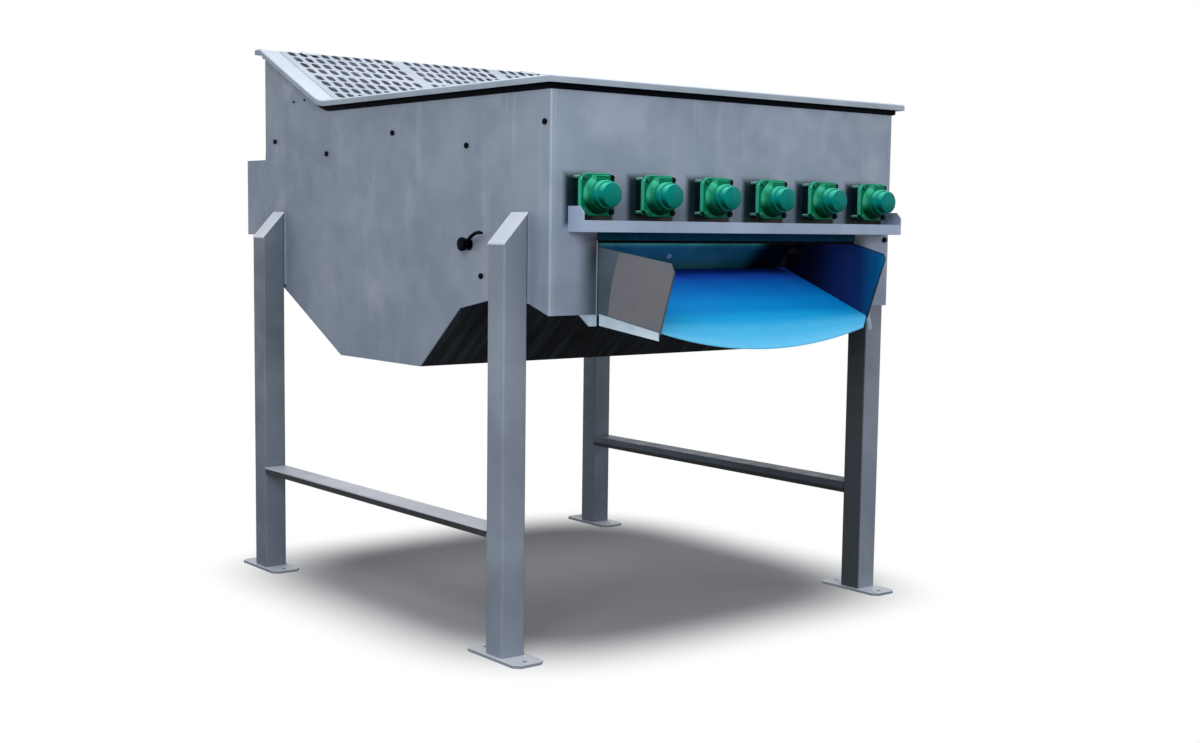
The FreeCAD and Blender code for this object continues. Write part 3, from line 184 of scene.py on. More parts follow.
def galvanised(name, base, dark, pale, runs=0.3, roughness=0.5, metallic=0.12, painted_top_light=None, painted_shade=None):
    """Hot-dip galvanised steel gone dull: grey-blue zinc in clouds, pale runs and a fine grain.

    The clouds are 340 mm wide, the runs 55 mm wide and seven times as long, and the zinc's crystals
    12 mm; the plate itself has shallow waves 300 mm apart from rolling and welding. The colour for
    faces that look up is a painted highlight from the light above. The shading function is painted
    shade: it takes the tree, the colour and the axes of the place, and gives the shaded colour.
    """
    material, tree, coordinates = new_material(name)
    clouds = ramp(tree, noise(tree, coordinates, ZINC_CLOUD, 3.0), 0.36, 0.64)
    colour = blend_colours(tree, clouds, dark, base)
    blotches = ramp(tree, noise(tree, coordinates, ZINC_BLOTCH, 3.0), 0.52, 0.74, 0.0, 0.40)
    colour = blend_colours(tree, blotches, colour, pale)
    down = mapped(tree, coordinates, {"Scale": (1, 1, 1 / RUN_STRETCH), "Location": (RUN_SHIFT,) * 3})
    streaks = ramp(tree, noise(tree, down, RUN_WIDTH, 3.0), 0.55, 0.8, 0.0, runs)
    colour = blend_colours(tree, streaks, colour, pale)
    crystals = add_node(tree, "ShaderNodeTexVoronoi", {"Scale": 1 / ZINC_CRYSTAL}, {"Vector": coordinates})
    tint = ramp(tree, crystals.outputs["Color"], 0.0, 1.0, 0.0, 0.05)
    colour = blend_colours(tree, tint, colour, dark)
    # Painted highlight: faces that look up take the paler colour.
    if painted_top_light:
        height = axes(tree, add_node(tree, "ShaderNodeNewGeometry").outputs["Normal"])["Z"]
        colour = blend_colours(tree, ramp(tree, height, 0.15, 0.80), colour, painted_top_light)
    # Painted shade: the given function darkens the shaded places.
    if painted_shade:
        colour = painted_shade(tree, colour, axes(tree, coordinates))
    gloss = ramp(tree, noise(tree, coordinates, 0.09, 4.0), 0.3, 0.7, roughness - 0.08, roughness + 0.12)
    waves = bump(tree, noise(tree, coordinates, PLATE_WAVE, 1.0), 0.30, 0.010)
    grain = bump(tree, noise(tree, coordinates, ZINC_GRAIN, 2.0), 0.10, 0.0006, Normal=waves)
    return surfaced(material, add_node(tree, "ShaderNodeBsdfPrincipled", {"Metallic": metallic},
                                       {"Base Color": colour, "Roughness": gloss, "Normal": grain}))


def slab(outline, plane, low, high):
    """A flat outline in the named plane, carried straight from low to high along the third axis."""
    flat = np.array(outline, float)
    count = len(flat)
    shell = np.zeros((2 * count, 3))
    first, second = ["XYZ".index(letter) for letter in plane]
    for level, rows in ((low, slice(0, count)), (high, slice(count, 2 * count))):
        shell[rows, first], shell[rows, second] = flat[:, 0], flat[:, 1]
        shell[rows, 3 - first - second] = level
    sides = [[index, (index + 1) % count, count + (index + 1) % count, count + index]
             for index in range(count)]
    return shell, [list(range(count))[::-1], list(range(count, 2 * count))] + sides


def grid(points, wrap_rows=False, wrap_columns=False, caps=False):
    """Four-cornered faces over a (rows, columns, 3) array; caps close the first and the last row."""
    rows, columns = points.shape[:2]
    index = np.arange(rows * columns).reshape(rows, columns)
    if wrap_rows:
        index = np.vstack([index, index[:1]])
    if wrap_columns:
        index = np.hstack([index, index[:, :1]])
    faces = np.stack([index[:-1, :-1], index[:-1, 1:], index[1:, 1:], index[1:, :-1]], axis=-1)
    faces = faces.reshape(-1, 4).tolist()
    if caps:
        faces += [index[0, :columns].tolist()[::-1], index[-1, :columns].tolist()]
    return points.reshape(-1, 3), faces


def new_piece(name, shells, material, slot, *nodes, body="body", bevel=0.0, smooth=None):
    """One mesh from (points, faces) shells that rides on a body, takes its finish from the material and
    stands for the CAD nodes named, if any; bevel rounds its hard edges. The slot is not used."""
    faces, start = [], 0
    for points, shell_faces in shells:
        faces += [[corner + start for corner in face] for face in shell_faces]
        start += len(points)
    mesh = bpy.data.meshes.new(name)
    mesh.from_pydata(np.concatenate([points for points, _ in shells]).tolist(), [], faces)
    shape = bmesh.new()
    shape.from_mesh(mesh)
    bmesh.ops.recalc_face_normals(shape, faces=shape.faces)
    shape.to_mesh(mesh)
    shape.free()
    if smooth is not None:
        mesh.shade_smooth()
        mesh.set_sharp_from_angle(angle=math.radians(smooth))
    mesh.materials.append(material)
    piece = bpy.data.objects.new(name, mesh)
    bpy.context.scene.collection.objects.link(piece)
    if bevel:
        edges = piece.modifiers.new("Edges", "BEVEL")
        edges.width = bevel
        edges.segments = 2
        edges.limit_method = "ANGLE"
        edges.angle_limit = math.radians(40)
    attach(piece, body)
    if nodes:
        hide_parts(*nodes)
    return piece


def across(shells, side):
    """The same shells on the left (side -1) or, mirrored, on the right (side 1)."""
    return [(points * (-side, 1, 1), faces) for points, faces in shells]


def inner_face_shade(tree, colour, place):
    """Painted shade: a side plate's inner face, deep in the hopper, darkened to near black."""
    inner = HALF_WIDTH - PLATE
    soil_and_shade = ramp(tree, worked(tree, "ABSOLUTE", place["X"]), inner + 0.0003, inner + 0.001, 1.0, 0.0)
    return blend_colours(tree, soil_and_shade, colour, "#0D1116")


body_steel = galvanised("galvanised_body_sheet", *BODY_ZINC, runs=0.35)
side_steel = galvanised("side_plate_sheet", *BODY_ZINC, runs=0.35, painted_shade=inner_face_shade)
fold_steel = galvanised("galvanised_corner_fold", "#93A2B1", "#82919F", "#AEBAC6", runs=0.15)
outline = [(FRONT + y, z) for y, z in SIDE_OUTLINE]
outline = [(FRONT + CORNER_RADIUS, WALL_TOP), (FRONT + CORNER_RADIUS, WALL_LOW)] + outline
side_sheet = slab(outline, "YZ", -HALF_WIDTH, -HALF_WIDTH + PLATE)
turn = np.radians(np.linspace(180, 270, 7))
fold = [(-HALF_WIDTH + CORNER_RADIUS * (1 + math.cos(a)), FRONT + CORNER_RADIUS * (1 + math.sin(a)))
        for a in turn]
inner = CORNER_RADIUS - PLATE
fold += [(-HALF_WIDTH + CORNER_RETURN, FRONT), (-HALF_WIDTH + CORNER_RETURN, FRONT + PLATE)]
fold += [(-HALF_WIDTH + CORNER_RADIUS + inner * math.cos(a), FRONT + CORNER_RADIUS + inner * math.sin(a))
         for a in turn[::-1]]
corner_fold = slab(fold, "XY", WALL_LOW, WALL_TOP)
for side, word in ((-1, "left"), (1, "right")):
    new_piece(f"{word}_side_sheet", across([side_sheet], side), side_steel, "body_steel",
              f"{word}_side_plate", bevel=EDGE_ROUNDING)
    new_piece(f"{word}_corner_fold", across([corner_fold], side), fold_steel, "body_steel", smooth=35)


# Front wall, rear wall and rear side panels: the same sheet, cut square and welded between the side
# plates. The front wall is cut up from its lower edge for the chute; its sheet is a touch paler than
# the side plates' as painted light, with painted shade round the motors and beside the opening.
OPENING_HALF, OPENING_TOP = 0.654, 1.470
SCROLL_SPACING, SCROLL_LEVEL = 0.2793, 1.625
# Painted shade on the front wall: the halo round each motor, the strip under it and the band beside the
# opening.
SHADE_SPREAD, SHADE_NEAR, SHADE_FAR = 0.016, 0.072, 0.104
UNDER_MOTOR_SHIFT, UNDER_MOTOR_NEAR, UNDER_MOTOR_FAR = 0.022, 0.080, 0.094
UNDER_MOTOR_TOP, UNDER_MOTOR_END = (0.052, 0.040), (0.108, 0.100)
OPENING_SHADE_NEAR, OPENING_SHADE_FAR = 0.008, 0.100


def painted_motor_and_opening_shade(tree, colour, place):
    """Painted shade: a dark halo round each motor, spread a little to the left and down, a black strip
    between the motor and the tray, and a dark band beside the chute's opening, blacker towards the tray."""
    turn = worked(tree, "WRAP", place["X"], SCROLL_SPACING, 0.0)
    aside = worked(tree, "SUBTRACT", turn, SCROLL_SPACING / 2 - SHADE_SPREAD)
    above = worked(tree, "SUBTRACT", place["Z"], SCROLL_LEVEL - SHADE_SPREAD)
    reach = worked(tree, "MAXIMUM", worked(tree, "ABSOLUTE", aside), worked(tree, "ABSOLUTE", above))
    # Painted shadow round each motor.
    colour = blend_colours(tree, ramp(tree, reach, SHADE_NEAR, SHADE_FAR, 1.0, 0.0), colour, "#08222B")
    # Painted shade under each motor, between the motor and the tray.
    under_motor_shade = worked(tree, "ABSOLUTE", worked(tree, "SUBTRACT", aside, UNDER_MOTOR_SHIFT + SHADE_SPREAD))
    under_motor_shade = ramp(tree, under_motor_shade, UNDER_MOTOR_NEAR, UNDER_MOTOR_FAR, 1.0, 0.0)
    for (low, high), fade in ((UNDER_MOTOR_TOP, (1.0, 0.0)), (UNDER_MOTOR_END, (0.0, 1.0))):
        limit = ramp(tree, place["Z"], SCROLL_LEVEL - low, SCROLL_LEVEL - high, *fade)
        under_motor_shade = worked(tree, "MULTIPLY", under_motor_shade, limit)
    colour = blend_colours(tree, under_motor_shade, colour, "#02090D")
    # Painted shade beside the opening, blacker towards the tray.
    sideways = worked(tree, "ABSOLUTE", place["X"])
    edge = ramp(tree, sideways, OPENING_HALF + OPENING_SHADE_NEAR, OPENING_HALF + OPENING_SHADE_FAR, 0.95, 0.0)
    low = ramp(tree, place["Z"], OPENING_TOP, OPENING_TOP + 0.05, 1.0, 0.0)
    blacker = ramp(tree, place["Z"], OPENING_TOP - 0.17, OPENING_TOP - 0.03)
    soil_and_shade = blend_colours(tree, blacker, "#3A4855", "#0A161E")
    return blend_colours(tree, worked(tree, "MULTIPLY", edge, low), colour, soil_and_shade)


def paint_nodes(material, *names):
    """Gives CAD nodes whose shape is right already their finished material."""
    for name in names:
        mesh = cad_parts[name].data
        mesh.materials.clear()
        mesh.materials.append(material)


wall_half = HALF_WIDTH - CORNER_RETURN
wall = [(-wall_half, WALL_LOW), (-OPENING_HALF, WALL_LOW), (-OPENING_HALF, OPENING_TOP),
        (OPENING_HALF, OPENING_TOP), (OPENING_HALF, WALL_LOW), (wall_half, WALL_LOW),
        (wall_half, WALL_TOP), (-wall_half, WALL_TOP)]
# A touch paler than the side plates as painted light, with the painted shade above.
shaded_front_steel = galvanised("shaded_front_sheet", "#8E9AAE", "#8390A3", "#A8AFC0", runs=0.35,
                         painted_shade=painted_motor_and_opening_shade)
new_piece("front_sheet", [slab(wall, "XZ", FRONT, FRONT + PLATE)], shaded_front_steel, "body_steel", "front_wall",
          bevel=EDGE_ROUNDING)
paint_nodes(body_steel, "rear_wall", "left_rear_panel", "right_rear_panel", "rear_bearing_guard", "hood_rail")


# Rim: one run of folded 4 mm sheet round the top, with a rolled outer edge and a short lip turned
# down. It is level in front and climbs to the rear, where the hood lies on its wide side ledges.
RIM_TOP, RIM_OVERHANG, RIM_LIP = 2.015, 0.033, 0.020
RIM_SHEET, RIM_FOLD, RIM_BEAD = 0.004, 0.009, 0.005
SIDE_LEDGE, FRONT_LEDGE, REAR_LEDGE = 0.075, 0.027, 0.010
SLOPE_START, HEAD, DEPTH = 1.557, 2.085, 2.095
REAR_RISE, BEND_LENGTH, LEVEL_END = 0.253, 0.050, 1.45


def rim_height(y):
    """Height of the rim's top: level, then a straight climb, eased over the bend between them."""
    slope = REAR_RISE / (HEAD - SLOPE_START)
    run = np.clip(y - SLOPE_START, -BEND_LENGTH, None)
    eased = (run + BEND_LENGTH) ** 2 / (4 * BEND_LENGTH)
    return RIM_TOP + slope * np.where(run < BEND_LENGTH, eased, run)


quarter = np.radians(np.linspace(90, 0, 7))
bead_turn = np.linspace(math.pi - math.asin(1 - RIM_BEAD / RIM_FOLD), 0, 10)
outer_edge = [(RIM_OVERHANG - RIM_FOLD * (1 - math.cos(a)), RIM_BEAD - RIM_FOLD * (1 - math.sin(a)))
              for a in bead_turn]
under_fold = RIM_FOLD - RIM_SHEET
under_edge = [(RIM_OVERHANG - RIM_FOLD + under_fold * math.cos(a), -RIM_FOLD + under_fold * math.sin(a))
              for a in quarter[::-1]]
lip = [(RIM_OVERHANG, -RIM_LIP), (RIM_OVERHANG - RIM_SHEET, -RIM_LIP)]
outside = np.array(outer_edge + lip + under_edge)
climb = np.linspace(SLOPE_START - BEND_LENGTH, SLOPE_START + BEND_LENGTH, 9)
side_run = [(y, rim_height(y)) for y in (*np.linspace(0.0, LEVEL_END, 4), *climb, HEAD)]
stations = [((-HALF_WIDTH, FRONT + y, z), (-1, -1 if y == 0 else 0),
             (SIDE_LEDGE, FRONT_LEDGE if y == 0 else 0)) for y, z in side_run]
stations.append(((-HALF_WIDTH, FRONT + DEPTH, RIM_TOP + REAR_RISE), (-1, 1), (SIDE_LEDGE, -REAR_LEDGE)))
ring = stations[::-1] + [((-x, y, z), (-outward[0], outward[1]), (-inward[0], inward[1]))
                         for (x, y, z), outward, inward in stations]
rows = []
for (x, y, z), outward, inward in ring:
    edge = np.stack([x + outside[:, 0] * outward[0], y + outside[:, 0] * outward[1], z + outside[:, 1]],
                    axis=1)
    ledge = np.array([(x + inward[0], y + inward[1], z - RIM_SHEET), (x + inward[0], y + inward[1], z)])
    rows.append(np.concatenate([edge, ledge]))
# Faces of the rim that look up take a paler colour: a painted highlight from the light above.
rim_steel = galvanised("galvanised_rim", "#98A5B2", "#8A97A4", "#AEB8C3", runs=0.15, roughness=0.55,
                       painted_top_light="#CAD3DF")
new_piece("folded_rim", [grid(np.array(rows), wrap_rows=True, wrap_columns=True)], rim_steel, "body_steel",
          "rim_front", "rim_left", "rim_right", "rim_rear", smooth=50)


# Under the rim: a black strip between the plates and the rim's overhang, which is painted shade: it
# stands for the shadow under the rim and shows below the lip as a dark line.
SHADOW_STRIP_DROP, SHADOW_STRIP_HEIGHT, SHADOW_STRIP_THICK, SHADOW_STRIP_GAP = 0.012, 0.027, 0.008, 0.0002
RUBBED_PATCH, RUBBER_GRAIN = 0.05, 0.003


def rubber(name, colour, worn, roughness=0.6):
    """Plain rubber: dark and even, greyer where it is rubbed, with a grain of 3 mm."""
    material, tree, coordinates = new_material(name)
    rubbed = ramp(tree, noise(tree, coordinates, RUBBED_PATCH, 4.0), 0.45, 0.75, 0.0, 0.5)
    grain = bump(tree, noise(tree, coordinates, RUBBER_GRAIN, 2.0), 0.2, 0.0005)
    return surfaced(material, add_node(tree, "ShaderNodeBsdfPrincipled",
                                       {"Roughness": roughness, "Specular IOR Level": 0.03},
                                       {"Base Color": blend_colours(tree, rubbed, colour, worn),
                                        "Normal": grain}))


shadow_black = rubber("black_shadow_strip", "#03060B", "#080C13")
shadow_rows = []
for (x, y, z), outward, _ in ring:
    top, low = z - SHADOW_STRIP_DROP, z - SHADOW_STRIP_DROP - SHADOW_STRIP_HEIGHT
    shadow_rows.append([(x + reach * outward[0], y + reach * outward[1], level) for reach, level in
                      ((SHADOW_STRIP_GAP, top), (SHADOW_STRIP_GAP, low), (SHADOW_STRIP_THICK, low + SHADOW_STRIP_THICK * 0.4),
                       (SHADOW_STRIP_THICK, top))])
new_piece("rim_shadow_strip", [grid(np.array(shadow_rows), wrap_rows=True, wrap_columns=True)], shadow_black,
          "seal_rubber")


# Hopper slopes: plain plates welded between the side plates, painted near black as shade, with long
# paler strokes down the slope.
SLOPE_STROKE, SLOPE_STRETCH, SLOPE_PATCH = 0.042, 9.0, 0.16


def shaded_slope_plate(name, node, side):
    """Steel painted near black, which is painted shade, with long paler strokes 42 mm apart down the slope,
    dull all over.
    The slope's run and rise are the node's own, and side tells which way it falls."""
    material, tree, coordinates = new_material(name)
    low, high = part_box(node)
    tilt = side * math.atan2(high.y - low.y, high.z - low.z)
    slant = mapped(tree, coordinates, {"vector_type": "TEXTURE", "Rotation": (tilt, 0, 0),
                                       "Scale": (1, 1, SLOPE_STRETCH)})
    strokes = ramp(tree, noise(tree, slant, SLOPE_STROKE, 2.0), 0.42, 0.72)
    patches = ramp(tree, noise(tree, coordinates, SLOPE_PATCH, 3.0), 0.4, 0.7)
    colour = blend_colours(tree, patches, "#080A0D", "#161B20")
    colour = blend_colours(tree, strokes, colour, "#2A3136")
    crust = bump(tree, noise(tree, slant, SLOPE_STROKE / 2, 2.0), 0.3, 0.001)
    return surfaced(material, add_node(tree, "ShaderNodeBsdfPrincipled",
                                       {"Roughness": 0.8, "Specular IOR Level": 0.2},
                                       {"Base Color": colour, "Normal": crust}))


for word, side in (("front", 1), ("rear", -1)):
    slope_node = f"hopper_{word}_slope"
    paint_nodes(shaded_slope_plate(f"shaded_{word}_slope", slope_node, side), slope_node)


# Legs: 100 mm square tube with rounded corners, mitred at the top and closed with a bright cap. Each
# stands on a foot plate and is welded to the side plate over a pad. An angle braces each pair. The
# legs' inner faces and the rear legs are darker as painted shade, the left brace is pale as lit and
# the right one dark as shaded, and the left one's hanging leg is painted black as shade.
LEG_SIZE, LEG_ROUND, LEG_WALL = 0.100, 0.008, 0.005
LEG_AXIS_X = -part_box("leg_front_right")[1].x + LEG_SIZE / 2
LEG_PLACES = {"front": 0.165, "rear": 1.960}
LEG_FOOT = 0.010
INNER_FACE = -LEG_AXIS_X - LEG_SIZE / 2
MITRE_INNER, MITRE_OUTER, CAP_PLATE = 1.565, 1.457, 0.007
BRACE_LOW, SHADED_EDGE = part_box("brace_left")[0].z, 0.016
LIP_THICK, LIP_LOW, LIP_TOP, LIP_END = 0.004, 0.028, 0.0062, 0.002


def rounded_square(size, radius, steps=6):
    """Corner arcs of a square of this size, steps points to a quarter turn, as an (n, 2) array."""
    quarter_turn = np.radians(np.linspace(0, 90, steps))
    reach = size / 2 - radius
    corners = [(reach, reach, 0), (-reach, reach, 90), (-reach, -reach, 180), (reach, -reach, 270)]
    return np.concatenate([np.stack([x + radius * np.cos(quarter_turn + math.radians(start)),
                                     y + radius * np.sin(quarter_turn + math.radians(start))], axis=1)
                           for x, y, start in corners])


def mitre_height(x):
    """Height of the mitred cut, which falls away from the side plate."""
    return np.interp(x, [LEG_AXIS_X - LEG_SIZE / 2, LEG_AXIS_X + LEG_SIZE / 2], [MITRE_OUTER, MITRE_INNER])


def leg_inner_shade(shade):
    """Painted shade of a leg: its inner faces, towards the hopper, are darkened."""
    def painted_shade(tree, colour, place):
        distance = worked(tree, "ABSOLUTE", place["X"])
        inner = ramp(tree, distance, INNER_FACE + 0.0005, INNER_FACE + LEG_ROUND * 0.7, 0.92, 0.0)
        return blend_colours(tree, inner, colour, shade)
    return painted_shade


def brace_shade(front_end):
    """Painted shade of a brace: darker along its lower edge, and a lit or shaded colour towards its front
    end.
    """
    def painted_shade(tree, colour, place):
        along = ramp(tree, place["Y"], FRONT + LEG_PLACES["front"], FRONT + LEG_PLACES["rear"], 0.9, 0.0)
        soil_and_shade = ramp(tree, place["Z"], BRACE_LOW + SHADED_EDGE, BRACE_LOW + SHADED_EDGE + 0.004, 1.0, 0.0)
        return blend_colours(tree, soil_and_shade, blend_colours(tree, along, colour, front_end), "#0C1118")
    return painted_shade


# Painted shade: the rear legs' steel is darker than the front legs', and each leg's inner faces are darker
# still.
leg_steel = {"front": galvanised("galvanised_front_leg", "#868F9E", "#7B8493", "#9AA4B2", runs=0.25,
                                 painted_shade=leg_inner_shade("#272F33")),
             "rear": galvanised("shaded_rear_leg", "#717B89", "#646F7B", "#87919E", runs=0.25,
                                painted_shade=leg_inner_shade("#69727E"))}
cap_steel = galvanised("ground_cap_plate", "#D6DCE6", "#C6CFDA", "#E8ECF2", runs=0.1, roughness=0.4)
# Faces of the foot plates that look up take a paler colour: a painted highlight.
foot_steel = galvanised("galvanised_foot_plate", "#8F98A3", "#7E8893", "#A9B1BC", runs=0.1, painted_top_light="#D2D7DE")
# The braces are a lit and a shaded copy of one steel: the left one pale as painted light, the right one dark
# as painted shade.
pale_brace = galvanised("lit_left_brace", "#D2D6DF", "#C4C9D3", "#E0E3EA", runs=0.1,
                        painted_shade=brace_shade("#D6DAE3"))
dark_brace = galvanised("shaded_right_brace", "#5A6672", "#4D5964", "#6E7985", runs=0.1,
                        painted_shade=brace_shade("#2E3943"))
# The left brace's hanging leg is black as painted shade.
lip_steel = galvanised("shaded_brace_lip", "#171C24", "#0C1016", "#262D36", metallic=0.0)
section = rounded_square(LEG_SIZE, LEG_ROUND)
bore = rounded_square(LEG_SIZE - 2 * LEG_WALL, LEG_ROUND - LEG_WALL)
reach = LEG_SIZE / 2
slant = [(LEG_AXIS_X - reach, MITRE_OUTER - CAP_PLATE), (LEG_AXIS_X + reach, MITRE_INNER - CAP_PLATE),
         (LEG_AXIS_X + reach, MITRE_INNER), (LEG_AXIS_X - reach, MITRE_OUTER)]
for place, at in LEG_PLACES.items():
    loops = []
    for loop, top in ((section, False), (section, True), (bore, True), (bore, False)):
        x, y = loop[:, 0] + LEG_AXIS_X, loop[:, 1] + FRONT + at
        z = mitre_height(x) - CAP_PLATE if top else np.full(len(loop), LEG_FOOT)
        loops.append(np.stack([x, y, z], axis=1))
    tube = grid(np.array(loops), wrap_rows=True, wrap_columns=True)
    cap = slab(slant, "XZ", FRONT + at - reach, FRONT + at + reach)
    for side, word in ((-1, "left"), (1, "right")):
        new_piece(f"leg_tube_{place}_{word}", across([tube], side), leg_steel[place], "body_steel",
                  f"leg_{place}_{word}", smooth=30)
        new_piece(f"leg_lid_{place}_{word}", across([cap], side), cap_steel, "cap_steel", "leg_caps",
                  bevel=0.0015)
paint_nodes(fold_steel, "leg_pads")
paint_nodes(foot_steel, "foot_plates")
paint_nodes(pale_brace, "brace_left")
paint_nodes(dark_brace, "brace_right")
low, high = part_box("brace_left")
lip_edge = [(low.x, high.z - LIP_LOW), (low.x + LIP_THICK, high.z - LIP_LOW),
            (low.x + LIP_THICK, high.z - LIP_TOP), (low.x, high.z - LIP_TOP)]
new_piece("brace_lip", [slab(lip_edge, "XZ", low.y + LIP_END, high.y - LIP_END)], lip_steel, "body_steel",
          bevel=0.001)


# Hood: 3 mm galvanised sheet, punched with long holes of 35 by 57 mm in three fields, that lies on the
# rim's side ledges and swings up about two hinges along the rear rim.
HOOD_SHEET, HOOD_SIDE_GAP, SEAT_GAP = 0.003, 0.062, 0.0003
HOOD_LOW, HOOD_HIGH = 0.022, 0.007
HOLE_RADIUS, HOLE_LONG, HOLE_CORNERS = 0.0175, 0.022, 20
HOLE_STEP, HOLE_RISE, HOLE_FIRST, HOLE_GROUP = 0.032, 0.1127, 0.14, 0.473
HOLE_FIELDS = [(0.065, 10), (0.41, 9), (0.7256, 7)]
HOLE_ROWS = [HOLE_FIRST + HOLE_RISE * row + HOLE_GROUP * upper for upper in (0, 1) for row in range(4)]


def punched_sheet():
    """The hood flat on the ground, its upper edge at y 0: one outline, a ring of corners for each hole,
    and the face between them filled; the second side is the first moved by the sheet's thickness."""
    slope_length = math.hypot(HEAD - SLOPE_START, REAR_RISE)
    half = HALF_WIDTH - HOOD_SIDE_GAP
    border = [(-half, HOOD_LOW - slope_length), (half, HOOD_LOW - slope_length),
              (half, -HOOD_HIGH), (-half, -HOOD_HIGH)]
    angles = np.linspace(0, 2 * math.pi, HOLE_CORNERS, endpoint=False)
    angles += math.pi / HOLE_CORNERS
    hole = np.stack([HOLE_RADIUS * np.cos(angles),
                     HOLE_RADIUS * np.sin(angles) + HOLE_LONG / 2 * np.sign(np.sin(angles))], axis=1)
    centres = [(HALF_WIDTH * (2 * (start + HOLE_STEP * column) - 1), slope_length * (row - 1))
               for start, count in HOLE_FIELDS for column in range(count) for row in HOLE_ROWS]
    shape = bmesh.new()
    for loop in [np.array(border)] + [hole + centre for centre in centres]:
        corners = [shape.verts.new((x, y, 0)) for x, y in loop]
        for first, second in zip(corners, corners[1:] + corners[:1]):
            shape.edges.new((first, second))
    bmesh.ops.triangle_fill(shape, use_beauty=True, edges=shape.edges)
    bmesh.ops.recalc_face_normals(shape, faces=shape.faces)
    if sum(face.normal.z for face in shape.faces) < 0:
        bmesh.ops.reverse_faces(shape, faces=shape.faces)
    sides = bmesh.ops.extrude_face_region(shape, geom=list(shape.faces))["geom"]
    raised = [item for item in sides if isinstance(item, bmesh.types.BMVert)]
    bmesh.ops.translate(shape, verts=raised, vec=(0, 0, HOOD_SHEET))
    shape.verts.index_update()
    points = np.array([vertex.co[:] for vertex in shape.verts])
    faces = [[vertex.index for vertex in face.verts] for face in shape.faces]
    shape.free()
    return points, faces


points, faces = punched_sheet()
tilt = math.atan(REAR_RISE / (HEAD - SLOPE_START))
lifted = points[:, 2] + SEAT_GAP
points = np.stack([points[:, 0], FRONT + HEAD + points[:, 1] * math.cos(tilt) - lifted * math.sin(tilt),
                   RIM_TOP + REAR_RISE + points[:, 1] * math.sin(tilt) + lifted * math.cos(tilt)], axis=1)
hood_steel = galvanised("galvanised_punched_sheet", "#BAC3D0", "#ABB5C3", "#CDD4DE", runs=0.1)
new_piece("punched_hood", [(points, faces)], hood_steel, "hood_paint", "hood_guard", body="hood")
paint_nodes(rim_steel, "hinge_barrels_fixed", "hinge_barrels_hood", "hinge_pins")


# Scrolls: a core tube with a flight of 10 mm plate wound round it, rubbed bright by the crop and dark
# with soil in patches. A stub in front and a journal in a zinc-plated bearing behind carry it.
SCROLL_RADIUS, TUBE_RADIUS, STUB_RADIUS, JOURNAL_RADIUS = 0.120, 0.030, 0.015, 0.025
STUB_START, TUBE_START, TUBE_END, JOURNAL_END = -0.078, 0.024, 2.060, 2.140
FLIGHT_START, FLIGHT_CLIMB, FLIGHT_PLATE = 0.420, 1.610, 0.010
FLIGHT_TURNS, STEPS_PER_TURN = 80 / 12, 36
POLE = 0.0002
WORN_PATCH, SCRATCH, SCRATCH_STRETCH = 0.06, 0.003, 0.06


def helical_flight():
    """Section of a plate with a rounded rim, turned about the Y axis while it climbs evenly."""
    turns = np.linspace(0, FLIGHT_TURNS, int(FLIGHT_TURNS * STEPS_PER_TURN) + 1)[:, None]
    half = FLIGHT_PLATE / 2
    round_rim = np.radians(np.linspace(-90, 90, 5))
    root = [TUBE_RADIUS * 0.9]
    radius = np.concatenate([root, SCROLL_RADIUS - half + half * np.cos(round_rim), root])[None, :]
    depth = np.concatenate([[0], half + half * np.sin(round_rim), [FLIGHT_PLATE]])[None, :]
    angle = 2 * math.pi * turns
    return grid(np.stack([radius * np.sin(angle),
                          FRONT + FLIGHT_START + FLIGHT_CLIMB * turns / FLIGHT_TURNS + depth,
                          radius * np.cos(angle)], axis=-1), wrap_columns=True, caps=True)


def lathe(profile, centre, steps=48):
    """A profile of (radius, distance) corners turned about a line along Y through centre (x, z). It
    starts and ends on a ring of 0.2 mm, the pole, which the caps close."""
    angle = np.linspace(0, 2 * math.pi, steps, endpoint=False)[None, :]
    profile = [(POLE, profile[0][1]), *profile, (POLE, profile[-1][1])]
    radius, distance = np.array(profile, float).T[:, :, None]
    points = np.stack([centre[0] + radius * np.sin(angle), FRONT + distance + 0 * angle,
                       centre[1] + radius * np.cos(angle)], axis=-1)
    return grid(points, wrap_columns=True, caps=True)


def worn_flight(name):
    """Bare steel rubbed bright by the crop, with dark soil left in patches 60 mm wide."""
    material, tree, coordinates = new_material(name)
    soil_and_shade = ramp(tree, noise(tree, coordinates, WORN_PATCH, 5.0, 0.6), 0.42, 0.62)
    drawn = mapped(tree, coordinates, {"Scale": (1, SCRATCH_STRETCH, 1)})
    return surfaced(material, add_node(tree, "ShaderNodeBsdfPrincipled", {}, {
        "Base Color": blend_colours(tree, soil_and_shade, "#7C838C", "#2E2F33"),
        "Metallic": ramp(tree, soil_and_shade, 0.0, 1.0, 0.85, 0.0),
        "Roughness": ramp(tree, soil_and_shade, 0.0, 1.0, 0.35, 0.8),
        "Normal": bump(tree, noise(tree, drawn, SCRATCH, 3.0), 0.3, 0.001)}))


